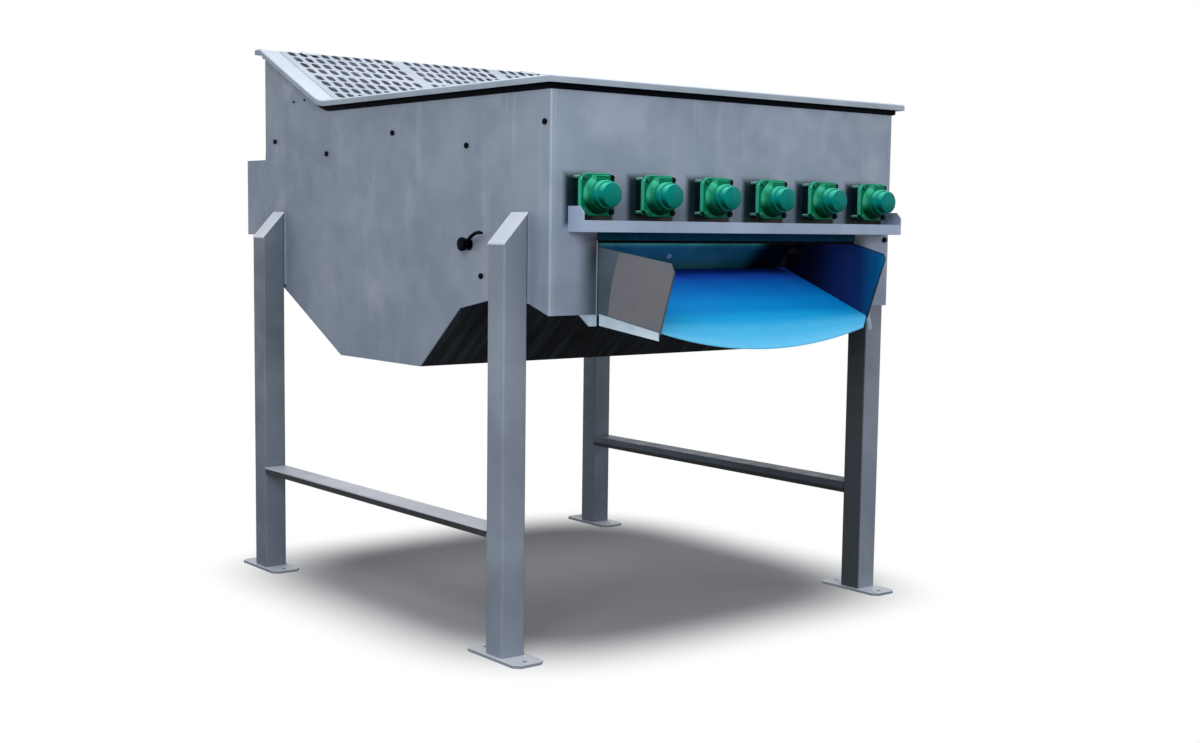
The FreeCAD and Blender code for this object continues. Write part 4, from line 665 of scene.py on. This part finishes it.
scroll_steel = worn_flight("worn_scroll_steel")
plated_zinc = galvanised("zinc_plated_bolt", "#B4BFCB", "#9AA6B3", "#D5DCE4", runs=0.1, roughness=0.35,
                         metallic=0.5)
core_profile = [(STUB_RADIUS, STUB_START), (STUB_RADIUS, TUBE_START), (TUBE_RADIUS, TUBE_START),
                (TUBE_RADIUS, TUBE_END), (JOURNAL_RADIUS, TUBE_END), (JOURNAL_RADIUS, JOURNAL_END)]
motor_places = [(index - 2.5) * SCROLL_SPACING for index in range(6)]
flight_points, flight_faces = helical_flight()
for number, x in enumerate(motor_places, start=1):
    winding = (flight_points + (x, 0, SCROLL_LEVEL), flight_faces)
    new_piece(f"wound_scroll_{number}", [lathe(core_profile, (x, SCROLL_LEVEL)), winding], scroll_steel,
              "scroll_steel", f"scroll_{number}", body=f"scroll_{number}", smooth=40)
paint_nodes(plated_zinc, "rear_bearings", "bearing_guard_bolts")


# Motors: six flange motors in green enamel on green standoffs, with highlights and shade painted into
# the enamel. Each has a square cast flange, a tapered bell with a port pad on top, a turned end cover
# in a bluer green, and behind it a dark block that is painted shade in the gap.
FLANGE_SIZE, FLANGE_CHAMFER = 0.146, 0.022
STANDOFF, FLANGE_THICK, BELL_LENGTH = 0.035, 0.020, 0.030
BELL_BASE, BELL_NECK = 0.066, 0.053
PORT_WIDTH, PORT_TOP = 0.062, 0.066
COVER_RADIUS, COVER_LENGTH, CAP_RADIUS, CAP_LENGTH = 0.049, 0.022, 0.042, 0.027
BLOCK_HALF, BLOCK_RISE = 0.065, 0.046
BOLT_OFFSET, POST_RADIUS, WASHER_RADIUS = 0.058, 0.0085, 0.011
HEAD_RADIUS, HEAD_TOP, WASHER_THICK = 0.0095, 0.008, 0.002
SHOP_ROUNDING, HEAD_ROUNDING = 0.0025, 0.0006
PAINT_PATCH, ORANGE_PEEL = 0.030, 0.004


def enamel(name, base, shade, light, under_shade, edge=0.0, gloss=0.15):
    """Machine enamel over cast iron, with light painted in by the way that a face points: a painted
    highlight pales what faces up, painted shade darkens what faces down, and a painted highlight pales
    the upright edges; orange-peel grain."""
    material, tree, coordinates = new_material(name)
    patches = ramp(tree, noise(tree, coordinates, PAINT_PATCH, 4.0), 0.35, 0.65)
    facing = axes(tree, add_node(tree, "ShaderNodeNewGeometry").outputs["Normal"])
    # Painted highlight on upright edges, as strong as edge; painted shade on faces that look down; painted
    # highlight on faces that look up.
    edge_highlight = ramp(tree, worked(tree, "ABSOLUTE", facing["X"]), 0.80, 0.98, 0.0, edge)
    under_shade_share = ramp(tree, facing["Z"], -0.60, 0.10, 1.0, 0.0)
    top_highlight_share = ramp(tree, facing["Z"], 0.15, 0.85, 0.0, 0.9)
    colour = blend_colours(tree, patches, shade, base)
    for share, film in ((edge_highlight, light), (under_shade_share, under_shade), (top_highlight_share, light)):
        colour = blend_colours(tree, share, colour, film)
    return surfaced(material, add_node(tree, "ShaderNodeBsdfPrincipled", {
        "Coat Weight": gloss / 3, "Coat Roughness": 0.3, "Specular IOR Level": gloss}, {
        "Base Color": colour, "Roughness": ramp(tree, top_highlight_share, 0.0, 0.85, 0.38, 0.6),
        "Normal": bump(tree, noise(tree, coordinates, ORANGE_PEEL, 3.0), 0.15, 0.0006)}))


def upright_strip(left, right, low, high, near, far):
    """A rectangular block in front of the wall, between two distances from it."""
    return slab([(left, low), (right, low), (right, high), (left, high)], "XZ", FRONT - far, FRONT - near)


def disc(radius, near, far, spot):
    """A washer or post about a line along Y, between two distances in front of the wall."""
    return lathe([(radius, -far), (radius, -near)], spot, 20)


def bolt_head(spot, near, far):
    """A hexagon head between two distances in front of the wall."""
    corners = [(spot[0] + HEAD_RADIUS * math.cos(math.radians(60 * side)),
                spot[1] + HEAD_RADIUS * math.sin(math.radians(60 * side))) for side in range(6)]
    return slab(corners, "XZ", FRONT - far, FRONT - near)


motor_green = enamel("green_machine_enamel", "#007A58", "#006B4C", "#46BF9A", "#00301C", edge=0.7,
                     gloss=0.05)
cover_teal = enamel("blue_green_enamel", "#00837A", "#007A70", "#4ECCAC", "#003F2C", gloss=0.05)
bolt_black = enamel("black_bolt_enamel", "#04080F", "#02050A", "#0A1018", "#010304", gloss=0.03)
bolt_green = enamel("green_painted_bolt", "#00664E", "#005A42", "#46B696", "#002A1C")
post_green = enamel("green_standoff_enamel", "#3E7F76", "#316C64", "#86BCAE", "#03181A", gloss=0.05)
# The dark block behind each flange is painted shade: a near-black fill for the shadowed gap.
gap_shade_block = rubber("gap_shadow_block", "#04191F", "#08262D")
flat, nick = FLANGE_SIZE / 2, FLANGE_SIZE / 2 - FLANGE_CHAMFER
flange_corners = ((-nick, -flat), (nick, -flat), (flat, -nick), (flat, nick), (nick, flat), (-nick, flat),
                  (-flat, nick), (-flat, -nick))
flange_face, bell_face = STANDOFF + FLANGE_THICK, STANDOFF + FLANGE_THICK + BELL_LENGTH
cover_face = bell_face + COVER_LENGTH
cap_face = cover_face + CAP_LENGTH
bell = [(BELL_BASE, -flange_face + 0.001), (BELL_BASE, -flange_face - 0.004),
        (BELL_NECK + 0.004, -bell_face + 0.006),
        (BELL_NECK, -bell_face + 0.002), (BELL_NECK - 0.002, -bell_face)]
cover = [(COVER_RADIUS, -bell_face), (COVER_RADIUS, -cover_face + 0.003),
         (COVER_RADIUS - 0.003, -cover_face),
         (CAP_RADIUS, -cover_face), (CAP_RADIUS, -cap_face + 0.003), (CAP_RADIUS - 0.001, -cap_face + 0.001),
         (CAP_RADIUS - 0.003, -cap_face)]
for number, x in enumerate(motor_places, start=1):
    centre = (x, SCROLL_LEVEL)
    flange = slab([(x + u, SCROLL_LEVEL + v) for u, v in flange_corners], "XZ", FRONT - flange_face,
                  FRONT - STANDOFF)
    port = upright_strip(x - PORT_WIDTH / 2, x + PORT_WIDTH / 2, SCROLL_LEVEL + BELL_NECK / 2,
                         SCROLL_LEVEL + PORT_TOP, flange_face, bell_face)
    pad = upright_strip(x - BLOCK_HALF, x + BLOCK_HALF, SCROLL_LEVEL - BLOCK_RISE, SCROLL_LEVEL + BLOCK_RISE,
                        0.0, STANDOFF)
    new_piece(f"motor_casting_{number}", [flange, lathe(bell, centre), port], motor_green, "motor_green",
              "motor_housings", bevel=SHOP_ROUNDING, smooth=35)
    new_piece(f"motor_block_{number}", [pad], gap_shade_block, "seal_rubber", "motor_blocks", bevel=0.002)
    new_piece(f"motor_cover_{number}", [lathe(cover, centre)], cover_teal, "cover_teal", "motor_end_covers",
              smooth=30)
    posts, green_heads, black_heads = [], [], []
    # Right-hand heads are black as painted shade; left-hand ones green.
    for u in (-BOLT_OFFSET, BOLT_OFFSET):
        heads = green_heads if u < 0 else black_heads
        for v in (-BOLT_OFFSET, BOLT_OFFSET):
            spot = (x + u, SCROLL_LEVEL + v)
            posts.append(disc(POST_RADIUS, 0, STANDOFF, spot))
            heads += [disc(WASHER_RADIUS, flange_face, flange_face + WASHER_THICK, spot),
                      bolt_head(spot, flange_face + WASHER_THICK, flange_face + HEAD_TOP)]
    new_piece(f"motor_posts_{number}", posts, post_green, "zinc", "motor_standoffs", smooth=35)
    for heads, finish, word in ((green_heads, bolt_green, "painted"), (black_heads, bolt_black, "shaded_black")):
        new_piece(f"motor_bolts_{word}_{number}", heads, finish, "zinc", "motor_bolts", bevel=HEAD_ROUNDING)


# Tray: folded 4 mm sheet under the motors, hung on the wall, with a front lip and two end plates
# whose front corner is cut off.
TRAY_LEFT, TRAY_RIGHT = -HALF_WIDTH + 0.075, -HALF_WIDTH + 1.690
TRAY_DEPTH, TRAY_LOW, TRAY_LIP, TRAY_END, TRAY_CORNER = 0.088, 1.498, 0.040, 0.088, 0.022
TRAY_SHEET = 0.004
tray_steel = galvanised("galvanised_tray", "#A0B0C8", "#93A2B9", "#B5C2D6", runs=0.1)
channel = [(-TRAY_DEPTH, 0), (0, 0), (0, TRAY_SHEET), (-TRAY_DEPTH + TRAY_SHEET, TRAY_SHEET),
           (-TRAY_DEPTH + TRAY_SHEET, TRAY_LIP), (-TRAY_DEPTH, TRAY_LIP)]
end_plate = [(-TRAY_DEPTH, 0), (0, 0), (0, TRAY_END), (-TRAY_DEPTH + TRAY_CORNER, TRAY_END),
             (-TRAY_DEPTH, TRAY_END - TRAY_CORNER)]
channel, end_plate = [[(FRONT + y, TRAY_LOW + z) for y, z in shape] for shape in (channel, end_plate)]
new_piece("motor_tray_sheet", [slab(channel, "YZ", TRAY_LEFT + TRAY_SHEET, TRAY_RIGHT - TRAY_SHEET),
                               slab(end_plate, "YZ", TRAY_LEFT, TRAY_LEFT + TRAY_SHEET),
                               slab(end_plate, "YZ", TRAY_RIGHT - TRAY_SHEET, TRAY_RIGHT)],
          tray_steel, "tray_steel", "motor_tray", bevel=0.001)


# Under the tray: a dark teal strip between the tray and the opening, which is painted shade on the
# wall under the tray, with a black line below it, painted shadow at the opening's top edge. A black
# bolt sits on the right, and a weld runs up each side.
SHADE_STRIP_LOW, SHADE_STRIP_THICK, SHADE_LINE_HEIGHT = 1.470, 0.005, 0.010
CLAMP_BOLT, CLAMP_WASHER, CLAMP_HEAD = (0.832, 1.477), 0.0115, 0.009
WELD_WIDTH, WELD_PROUD, WELD_ROUNDING = 0.005, 0.002, 0.0009
shade_teal = rubber("teal_shade_strip", "#0D3C52", "#15506A")
new_piece("under_tray_shade_strip", [upright_strip(-OPENING_HALF, OPENING_HALF, SHADE_STRIP_LOW, TRAY_LOW - SEAT_GAP,
                                       SEAT_GAP, SHADE_STRIP_THICK)], shade_teal, "seal_rubber", bevel=0.001)
new_piece("opening_shade_line", [upright_strip(-OPENING_HALF, OPENING_HALF, SHADE_STRIP_LOW - SHADE_LINE_HEIGHT, SHADE_STRIP_LOW,
                                      -SHADE_STRIP_THICK, SHADE_STRIP_THICK * 0.6)], shadow_black, "seal_rubber")
new_piece("clamp_bolt", [disc(CLAMP_WASHER, POLE, WASHER_THICK, CLAMP_BOLT),
                         bolt_head(CLAMP_BOLT, WASHER_THICK, CLAMP_HEAD)], bolt_black, "zinc",
          bevel=HEAD_ROUNDING)
bead = upright_strip(-OPENING_HALF - WELD_WIDTH, -OPENING_HALF, WALL_LOW, SHADE_STRIP_LOW, 0.0, WELD_PROUD)
for side, word in ((-1, "left"), (1, "right")):
    new_piece(f"opening_weld_{word}", across([bead], side), body_steel, "body_steel", bevel=WELD_ROUNDING)


# Chute: two cheeks of bent sheet that close in towards the front, a sloping floor, and a blue
# flexible sheet that lies on the floor and hangs between the cheeks, held by pale clamp bars. A
# brown-grey wear panel is stuck on the outer face of the left cheek. Painted shade: the left cheek's
# steel round the panel is dark, the right cheek is dark navy, the liners are a darker copy of the blue
# sheet, and both sheets darken towards their inner end.
CHUTE_HALF, CHUTE_TAPER = 0.644, 0.361
CHUTE_LEVEL, CHUTE_FALL, CHUTE_INNER = 1.210, 0.235, 0.575
SHEET_THICK, SHEET_REACH, SHEET_SAG, SHEET_BACK_GAP = 0.004, 0.225, 0.068, 0.008
RIGHT_FOOT, LIP_CORNER, LIP_DROOP = 0.128, 0.470, 0.012
CHEEK_SHEET, SIDE_LINER = 0.004, 0.003
CHEEK_FOOT, CHEEK_REACH, CHEEK_TOP, CHEEK_RISE, CHEEK_NOSE = 0.233, 0.282, 0.236, 0.016, 0.032
PANEL_THICK, PANEL_MARGIN, PANEL_BACK, PANEL_FOOT = 0.002, 0.0015, 0.078, 0.006
NOSE_CUT = 0.012
SMEAR, RIPPLE = 0.06, 0.12


def flexible(name, stops):
    """Smooth flexible sheet, darker towards its inner end as painted shade deeper in the chute: each stop
    is a distance from the wall and the colour there."""
    material, tree, coordinates = new_material(name)
    place = axes(tree, coordinates)["Y"]
    colour = stops[0][1]
    for (near, _), (far, code) in zip(stops, stops[1:]):
        colour = blend_colours(tree, ramp(tree, place, FRONT + near, FRONT + far), colour, code)
    smears = ramp(tree, noise(tree, coordinates, SMEAR, 4.0), 0.4, 0.7, 0.0, 0.06)
    colour = blend_colours(tree, smears, colour, stops[-1][1])
    ripple = bump(tree, noise(tree, coordinates, RIPPLE, 2.0), 0.2, 0.003)
    return surfaced(material, add_node(tree, "ShaderNodeBsdfPrincipled",
                                       {"Roughness": 0.6, "Specular IOR Level": 0.06},
                                       {"Base Color": colour, "Normal": ripple}))


def hanging_sheet(rows=30, inner_rows=12, columns=41):
    """Flat across on the floor; in front of the wall each row hangs as a parabola, deeper to the lip.
    Past the right cheek's foot the right edge leaves the cheek's line, runs straight to the lip's
    corner and droops a little."""
    y = np.concatenate([np.linspace(-SHEET_REACH, 0, rows),
                        np.linspace(0.04, CHUTE_INNER - SHEET_BACK_GAP, inner_rows)])[:, None]
    share = np.linspace(-1, 1, columns)[None, :]
    half = CHUTE_HALF - 2 * SIDE_LINER + CHUTE_TAPER * y
    free = np.clip((-y - RIGHT_FOOT) / (SHEET_REACH - RIGHT_FOOT), 0, None)
    foot = CHUTE_HALF - 2 * SIDE_LINER - CHUTE_TAPER * RIGHT_FOOT
    right = np.where(free > 0, foot + (LIP_CORNER - foot) * free, half)
    sag = SHEET_SAG * np.clip(-y / SHEET_REACH, 0, None) ** 1.6
    z = CHUTE_LEVEL + CHUTE_FALL * y + SEAT_GAP - sag * (1 - share ** 2) - LIP_DROOP * free * (1 + share) / 2
    return np.stack([(right - half + (right + half) * share) / 2, FRONT + y + 0 * share, z], axis=-1)


def cheek_face(corners, near, far):
    """Corners (distance from the wall, height) on the left cheek's outer face, between two depths."""
    taper = math.atan(CHUTE_TAPER)
    y, z = np.array(corners, float).T
    rings = [np.stack([-CHUTE_HALF - depth * math.cos(taper) - y * CHUTE_TAPER,
                       FRONT + y - depth * math.sin(taper), z], axis=1) for depth in (near, far)]
    return grid(np.array(rings), wrap_columns=True, caps=True)


def floor_height(y):
    """Top of the chute floor at a distance from the wall."""
    return CHUTE_LEVEL + CHUTE_FALL * y


# The left cheek's dark steel round the wear panel is painted shade, and so is the right cheek's dark navy.
cheek_steel = galvanised("shaded_cheek_sheet", "#46545F", "#384650", "#5E6C77", runs=0.2, roughness=0.55)
navy_cheek = galvanised("shaded_navy_cheek", "#1B3A58", "#122C46", "#2C4A66", runs=0.2, metallic=0.0)
clamp_steel = galvanised("galvanised_clamp_bar", "#BED0DC", "#94AABA", "#EEF6FA", roughness=0.4)
panel_brown = rubber("brown_wear_panel", "#6F6F74", "#65676C", roughness=0.7)
blue_sheet = flexible("blue_flexible_sheet", [(-0.225, "#68C6F0"), (-0.15, "#4CBAEA"), (-0.07, "#1AA8E6"),
                                              (0.00, "#0092DE"), (0.08, "#0090E0"), (0.24, "#007CD6"),
                                              (0.34, "#026CCC"), (0.46, "#1C50C4")])
# The cheek liners are a darker, shaded copy of the blue sheet: painted shade.
shaded_liner_sheet = flexible("shaded_flexible_sheet", [(-0.27, "#0A74A0"), (-0.17, "#0C5486"), (-0.05, "#163066"),
                                              (0.08, "#16285C"), (0.34, "#081026")])
under = hanging_sheet()
loop = np.concatenate([under, under[:, ::-1] + (0, 0, SHEET_THICK)], axis=1)
apron = new_piece("chute_apron", [grid(loop, wrap_columns=True, caps=True)], blue_sheet, "blue_sheet",
                  "chute_liner", smooth=40)
rows, columns = np.diff(under, axis=0)[:, :-1], np.diff(under, axis=1)[:-1]
nose_top = floor_height(-CHEEK_REACH) + CHEEK_TOP + CHEEK_RISE
slope_back = (CHUTE_LEVEL + CHEEK_TOP - nose_top) / (CHEEK_REACH - NOSE_CUT)
panel_edge = [(-0.038, floor_height(-0.038) + PANEL_FOOT), (-0.042, 1.26), (-0.052, 1.33), (-0.066, 1.39),
              (-PANEL_BACK, CHUTE_LEVEL + CHEEK_TOP - slope_back * PANEL_BACK - PANEL_MARGIN),
              (-CHEEK_REACH + 0.013, nose_top - PANEL_MARGIN),
              (-CHEEK_REACH + PANEL_MARGIN, nose_top - CHEEK_NOSE + PANEL_MARGIN),
              (-CHEEK_FOOT + PANEL_MARGIN, floor_height(-CHEEK_FOOT) + PANEL_FOOT)]
new_piece("wear_panel", [cheek_face(panel_edge, CHEEK_SHEET, CHEEK_SHEET + PANEL_THICK)], panel_brown,
          "cheek_steel", bevel=0.0007)
paint_nodes(cheek_steel, "chute_left_cheek", "chute_floor")
paint_nodes(navy_cheek, "chute_right_cheek")
paint_nodes(clamp_steel, "chute_brackets", "chute_clamp_bars")
paint_nodes(shaded_liner_sheet, "cheek_liners")


# Flap: a hinged plate behind the chute on a cross shaft, with one pale bolt head, set by a black
# lever with a bowed arm on the left side.
FLAP_Y, FLAP_Z = 0.487, 1.448
FLAP_RUN, FLAP_DROP, FLAP_PLATE = 0.101, 0.106, 0.005
HUB_RADIUS, HUB_NECK, HUB_START, HUB_LENGTH = 0.025, 0.016, 0.010, 0.030
ARM_RADIUS, ARM_REACH, ARM_RISE, ARM_BOW = 0.0065, 0.140, 0.041, 0.016
FLAP_BOLT_X, FLAP_BOLT_SHARE, FLAP_BOLT_RADIUS, FLAP_BOLT_HEIGHT = 0.134, 0.40, 0.013, 0.006
SHADE_START, SHADE_END = 0.55, 0.66


def flap_end_shade(tree, colour, place):
    """Painted shade: the flap's right end, deep in the hopper, turns black."""
    return blend_colours(tree, ramp(tree, place["X"], SHADE_START, SHADE_END), colour, "#020305")


def swept_tube(centres, radius, sides=16):
    """A round tube through centre points: a circle set square to the line at each of them."""
    centres = np.array(centres)
    heading = np.gradient(centres, axis=0)
    heading /= np.linalg.norm(heading, axis=1, keepdims=True)
    side = np.cross(heading, (1.0, 0.0, 0.0))
    side /= np.linalg.norm(side, axis=1, keepdims=True)
    other = np.cross(heading, side)
    angle = np.linspace(0, 2 * math.pi, sides, endpoint=False)[None, :, None]
    radius = np.asarray(radius, float)[:, None, None]
    return grid(centres[:, None] + radius * (np.cos(angle) * side[:, None] + np.sin(angle) * other[:, None]),
                wrap_columns=True, caps=True)


flap_paint = galvanised("flap_plate", "#58BEB2", "#3E9E96", "#86D4C6", metallic=0.0, painted_shade=flap_end_shade)
# The bolt is zinc given a near-white colour: partly its zinc, partly a painted highlight.
pale_bolt = galvanised("zinc_bolt_painted_highlight", "#F4FAFC", "#E6F0F4", "#FAFCFF", runs=0.0, metallic=0.0)
lever_black = enamel("black_lever_enamel", "#05070F", "#03050B", "#10141E", "#020307", gloss=0.02)
hub_x = -HALF_WIDTH - HUB_START
hub_path = [(hub_x, HUB_NECK), (hub_x - HUB_LENGTH * 0.5, HUB_RADIUS - 0.001),
            (hub_x - HUB_LENGTH * 0.55, HUB_RADIUS), (hub_x - HUB_LENGTH + 0.004, HUB_RADIUS),
            (hub_x - HUB_LENGTH + 0.001, HUB_RADIUS - 0.001), (hub_x - HUB_LENGTH, HUB_RADIUS - 0.004),
            (hub_x - HUB_LENGTH, POLE)]
angle = np.linspace(0, 2 * math.pi, 40, endpoint=False)[None, :]
hub_across, hub_radius = np.array(hub_path).T[:, :, None]
hub_points = np.stack([hub_across + 0 * angle, FRONT + FLAP_Y + hub_radius * np.cos(angle),
                       FLAP_Z + hub_radius * np.sin(angle)], axis=-1)
share = np.linspace(0, 1, 17)
arm_line = np.stack([hub_x - HUB_LENGTH * (0.6 + 0.4 * share),
                     FRONT + FLAP_Y - HUB_NECK - (ARM_REACH - HUB_NECK) * share,
                     FLAP_Z + ARM_RISE * share + ARM_BOW * 4 * share * (1 - share)], axis=1)
arm_taper = ARM_RADIUS * np.concatenate([np.ones(14), [0.97, 0.85, 0.55]])
new_piece("lever_handle", [grid(hub_points, wrap_columns=True, caps=True), swept_tube(arm_line, arm_taper)],
          lever_black, "lever_black", "flap_lever", body="flap", smooth=40)
slant = math.atan2(FLAP_DROP, FLAP_RUN)
bolt_points, bolt_faces = lathe([(FLAP_BOLT_RADIUS * 0.8, -FLAP_BOLT_HEIGHT),
                                 (FLAP_BOLT_RADIUS, -FLAP_BOLT_HEIGHT * 0.4), (FLAP_BOLT_RADIUS, 0.0)],
                                (0.0, 0.0), 20)
out, up = bolt_points[:, 1] - FRONT - FLAP_PLATE, bolt_points[:, 2]
middle = (FLAP_BOLT_X, FRONT + FLAP_Y + FLAP_RUN * FLAP_BOLT_SHARE, FLAP_Z - FLAP_DROP * FLAP_BOLT_SHARE)
turned = np.stack([bolt_points[:, 0], out * math.sin(slant) - up * math.cos(slant),
                   out * math.cos(slant) + up * math.sin(slant)], axis=1)
new_piece("flap_bolt", [(turned + middle, bolt_faces)], pale_bolt, "zinc", body="flap", smooth=40)
paint_nodes(flap_paint, "divider_flap")
paint_nodes(lever_black, "flap_shaft", "flap_bushes")


# Bolts on the side plates and seals on the scroll shafts: dark hexagon heads with washers, for the
# wear strips inside, and black discs behind the motors.
paint_nodes(lever_black, "side_bolts", "shaft_seals")


# Floor: a pale studio floor that fades into the white background and keeps the soft shadow. The fade
# is a glow seen by the camera: it makes the background white and, fitted close round the machine, is
# also painted light that sets where the shadow ends. It follows the fourth root of x and y to the
# fourth power, a square with round corners.
FLOOR_SIZE = 14.0
FADE_MIDDLE, FADE_START, FADE_END = (0.03, 0.05), 0.80, 1.38
material, tree, coordinates = new_material("studio_floor")
path = add_node(tree, "ShaderNodeLightPath")
diffuse = add_node(tree, "ShaderNodeBsdfDiffuse", {"Color": linear("#A2A2A5")})
glow = add_node(tree, "ShaderNodeEmission", {"Color": (1, 1, 1, 1), "Strength": 1.0})
aside = add_node(tree, "ShaderNodeVectorMath", {"operation": "SUBTRACT", 1: (*FADE_MIDDLE, 0)},
                 {0: coordinates}).outputs[0]
squared = add_node(tree, "ShaderNodeVectorMath", {"operation": "MULTIPLY"}, {0: aside, 1: aside}).outputs[0]
fourth = add_node(tree, "ShaderNodeVectorMath", {"operation": "DOT_PRODUCT"},
                  {0: squared, 1: squared}).outputs["Value"]
far = ramp(tree, worked(tree, "POWER", fourth, 0.25), FADE_START, FADE_END)
share = worked(tree, "MULTIPLY", far, path.outputs["Is Camera Ray"])
surfaced(material, add_node(tree, "ShaderNodeMixShader", {},
                            {0: share, 1: diffuse.outputs[0], 2: glow.outputs[0]}))
floor_mesh = bpy.data.meshes.new("studio_floor")
reach = FLOOR_SIZE / 2
floor_mesh.from_pydata([(-reach, -reach, 0), (reach, -reach, 0), (reach, reach, 0), (-reach, reach, 0)], [],
                       [(0, 1, 2, 3)])
floor_mesh.materials.append(material)
floor = bpy.data.objects.new("studio_floor", floor_mesh)
bpy.context.scene.collection.objects.link(floor)
floor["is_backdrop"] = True


# Light: a wide soft box overhead, one at the camera's side that lights the front and the left side
# alike, a weak one from the right, and an even sky, which is white to the camera and in reflections.
SKY_LEVEL = 0.50
SOFT_BOXES = {"overhead_box": ((-0.4, -0.6, 5.6), (0, 0, 1.2), 3.5, 110),
              "camera_side_box": ((-4.6, -4.4, 3.6), (0, -0.3, 1.3), 3.0, 190),
              "right_box": ((3.4, -3.6, 3.0), (0, -0.3, 1.3), 2.5, 25)}
world = bpy.data.worlds.new("Studio")
bpy.context.scene.world = world
world.use_nodes = True
tree = world.node_tree
tree.nodes.clear()
path = add_node(tree, "ShaderNodeLightPath").outputs
seen = worked(tree, "MAXIMUM", path["Is Camera Ray"], path["Is Glossy Ray"])
seen = worked(tree, "MAXIMUM", seen, path["Is Transmission Ray"])
sky = add_node(tree, "ShaderNodeBackground", {"Color": linear("#E9EEF4"), "Strength": SKY_LEVEL})
white = add_node(tree, "ShaderNodeBackground", {"Color": (1, 1, 1, 1), "Strength": 1.0})
mixed = add_node(tree, "ShaderNodeMixShader", {}, {0: seen, 1: sky.outputs[0], 2: white.outputs[0]})
tree.links.new(mixed.outputs[0], add_node(tree, "ShaderNodeOutputWorld").inputs["Surface"])
for name, (place, target, size, power) in SOFT_BOXES.items():
    light = bpy.data.lights.new(name, "AREA")
    light.size = size
    light.energy = power
    lamp = bpy.data.objects.new(name, light)
    lamp.location = place
    aim = np.array(target) - np.array(place)
    lamp.rotation_euler = (math.atan2(math.hypot(aim[0], aim[1]), -aim[2]), 0,
                           math.atan2(aim[1], aim[0]) - math.pi / 2)
    bpy.context.scene.collection.objects.link(lamp)

bpy.context.scene.view_settings.view_transform = "Standard"

low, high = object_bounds()
